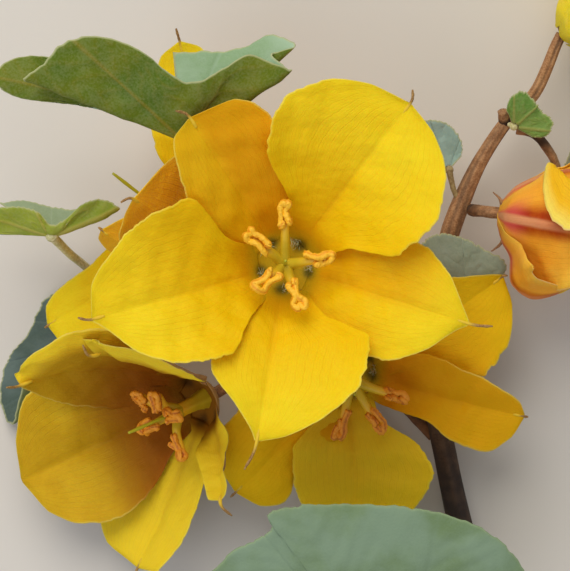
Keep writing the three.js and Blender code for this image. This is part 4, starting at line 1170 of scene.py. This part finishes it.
branch_leaves = {
    "upper_left": dict(
        base=[-18.4, 26, 41.5],
        rim=[[-43, 32.5, 44], [-48, 33.5, 44.5], [-51.4, 36.1, 45], [-49.6, 39.2, 45], [-44.6, 40.6, 44.6],
             [-40.2, 39.6, 45], [-43.4, 36.6, 47.5], [-45.7, 35.9, 49.6], [-42.2, 38.6, 50.4],
             [-38.8, 42, 50.8], [-32.7, 43.4, 51], [-25, 40.8, 50], [-19.1, 36.4, 48], [-15.6, 35.6, 47.5],
             [-11.1, 38, 46.5], [-6.2, 40.6, 45.5], [1.2, 38, 44], [-2.2, 40.8, 42.4], [1.9, 42.8, 41],
             [-2.6, 44.9, 38.5], [-7.3, 42.9, 37.4], [-12, 42.1, 36.6], [-20.2, 42, 36]],
        bulge=0.8, bow=[0.4, 1.7, 0], ribs=[-0.8, -0.45, -0.15, 0.3, 0.62, 0.9],
        stalk=[[-0.5, 4.2, 19.6], [-3.4, 7.4, 25], [-9, 14, 33], [-15.4, 22, 38]],
        finish=leaf_green, seed=41, flipped=True),
    "left": dict(
        base=[-43.2, 9.2, 24],
        rim=[[-52.8, 9.5, 24], [-58.3, 10.7, 24], [-56.6, 13.9, 26], [-52.4, 14.4, 27], [-48.7, 14.4, 27],
             [-45.4, 13.5, 27], [-43.2, 11.2, 26], [-40.7, 12.1, 26], [-36.8, 15.2, 27], [-33.4, 15.8, 26],
             [-30.5, 14.3, 25], [-34, 15, 22], [-40.1, 14.2, 21], [-45, 15, 19], [-49.7, 15.9, 18],
             [-53.5, 15.3, 18]],
        bulge=0.6, ribs=[-0.75, -0.35, 0, 0.3, 0.7],
        stalk=[[-6.6, 1.2, 9.6], [-25, 0.6, 6], [-35.6, 2, 6], [-39.6, 4.8, 9.6]],
        finish=leaf_left, seed=52, flipped=True),
    "lower_left": dict(
        base=[-30, -9, 8.4],
        rim=[[-35.8, -5.6, 12], [-42.5, -11.1, 12.4], [-49.5, -18.2, 10.6], [-53, -27, 3.6],
             [-55.4, -23.2, 0.8], [-55.2, -18.3, 0.4], [-53.9, -14.1, 0.4], [-50.2, -9.6, 0.6],
             [-48.4, -5.7, 0.8], [-45.9, -2, 1.6], [-38, -1, 3], [-30, -3, 4]],
        bulge=-0.6, ribs=[-0.7, -0.3, 0.05, 0.4, 0.75],
        stalk=[[-4.1, -11.6, 7], [-12, -9, 5.4], [-20, -8.6, 5.6]],
        finish=leaf_blue, seed=63),
    "foreground": dict(
        base=[21, -74, 26],
        rim=[[2, -76, 26], [-12, -66, 28], [-15.5, -57.5, 30], [-10.9, -49.2, 34], [-4.4, -45.3, 36],
             [-2.2, -43.4, 36.8], [-3, -41, 37.6], [2.4, -39.5, 38], [9.9, -39.2, 38], [20.6, -39.6, 38],
             [29.7, -41.4, 37], [37.5, -45, 36], [43.4, -51.7, 34], [46.6, -61.1, 31], [42, -74, 28]],
        bulge=2, ribs=[-0.85, -0.4, 0, 0.4, 0.8],
        stalk=[[36.1, -66.7, 5.3], [30, -69, 14]],
        finish=leaf_pale, seed=74),
    "right": dict(
        base=[34, -2.4, 15.2],
        rim=[[29, -2, 15.8], [26, 2, 16.6], [25.6, 7.6, 17], [28.8, 9.7, 17], [33.4, 9, 16.2],
             [37.1, 7.1, 16], [41.7, 4.1, 15.6], [40.6, 0.6, 15.2], [38, -3, 15]],
        bulge=0.4, ribs=[-0.6, 0, 0.6], stalk=[[32.3, -7.4, 12.4]],
        finish=leaf_grey, seed=85),
    "behind": dict(
        base=[31.1, 21.9, 14],
        rim=[[33.4, 24.4, 14.6], [33.4, 27, 15], [30.9, 30.3, 16], [27.3, 31.1, 17], [23.1, 29.9, 18],
             [22, 26.2, 18], [25, 22.7, 17]],
        bulge=0.4, ribs=[-0.6, 0, 0.6], stalk=[[32.9, 16.2, 12.4], [31.9, 18.6, 13]],
        finish=leaf_mint, seed=96, slender=0.7, flipped=True),
    "joint": dict(
        base=[43.2, 30, 15.6],
        rim=[[41.6, 33, 16.6], [42.3, 35.2, 18], [44.4, 36.4, 19], [46.7, 34.8, 18], [48.2, 32.9, 17],
             [50.5, 30.9, 16.4], [49.4, 28.2, 15.6], [46.6, 28, 15.4]],
        bulge=0.3, ribs=[-0.6, 0, 0.6], stalk=[[42.5, 30.5, 13.9]],
        finish=leaf_joint, seed=107, slender=0.65, flipped=True),
    "edge": dict(
        base=[54.4, 20.4, 9.4],
        rim=[[53.2, 23, 12], [55.4, 27.6, 14], [60, 26.2, 14], [63, 21.2, 12], [60, 17, 9], [56, 17, 8]],
        bulge=0.4, ribs=[-0.6, 0, 0.6], stalk=[[53.7, 22.6, 9]],
        finish=leaf_grey, seed=118),
}
for name, leaf in branch_leaves.items():
    material = leaf.pop("finish")
    piece(f"leaf_{name}", leaf_shapes(**leaf), material, "leaf", f"leaf_{name}")

# Studio. A plain pale floor, one large soft light from the head of the branch, a weaker one on the other
# side, and even light from all round.
floor_reach = 3.0
floor_mesh = bpy.data.meshes.new("floor")
floor_corners = [(x * floor_reach, y * floor_reach, 0) for x, y in ((-1, -1), (1, -1), (1, 1), (-1, 1))]
floor_mesh.from_pydata(floor_corners, [], [(0, 1, 2, 3)])
floor_finish, tree, shader = finish("floor", "#d8d3cb", Roughness=0.9)
floor_mesh.materials.append(floor_finish)
floor = bpy.data.objects.new("floor", floor_mesh)
scene.collection.objects.link(floor)


def soft_light(name, place, size, power, colour):
    light = bpy.data.lights.new(name, "AREA")
    light.shape = "DISK"
    light.size = size
    light.energy = power
    light.color = linear(colour)[:3]
    made = bpy.data.objects.new(name, light)
    made.location = place
    made.rotation_euler = (-Vector(place)).to_track_quat("-Z", "Y").to_euler()
    scene.collection.objects.link(made)


soft_light("key", (-0.2, 0.62, 0.75), 0.85, 6.4, "#fff8ec")
soft_light("fill", (-0.4, -0.45, 0.75), 0.8, 2.0, "#f2f5ff")
world = bpy.data.worlds.new("studio")
world.use_nodes = True
world.node_tree.nodes["Background"].inputs["Color"].default_value = linear("#eef0f4")
world.node_tree.nodes["Background"].inputs["Strength"].default_value = 0.46
scene.world = world
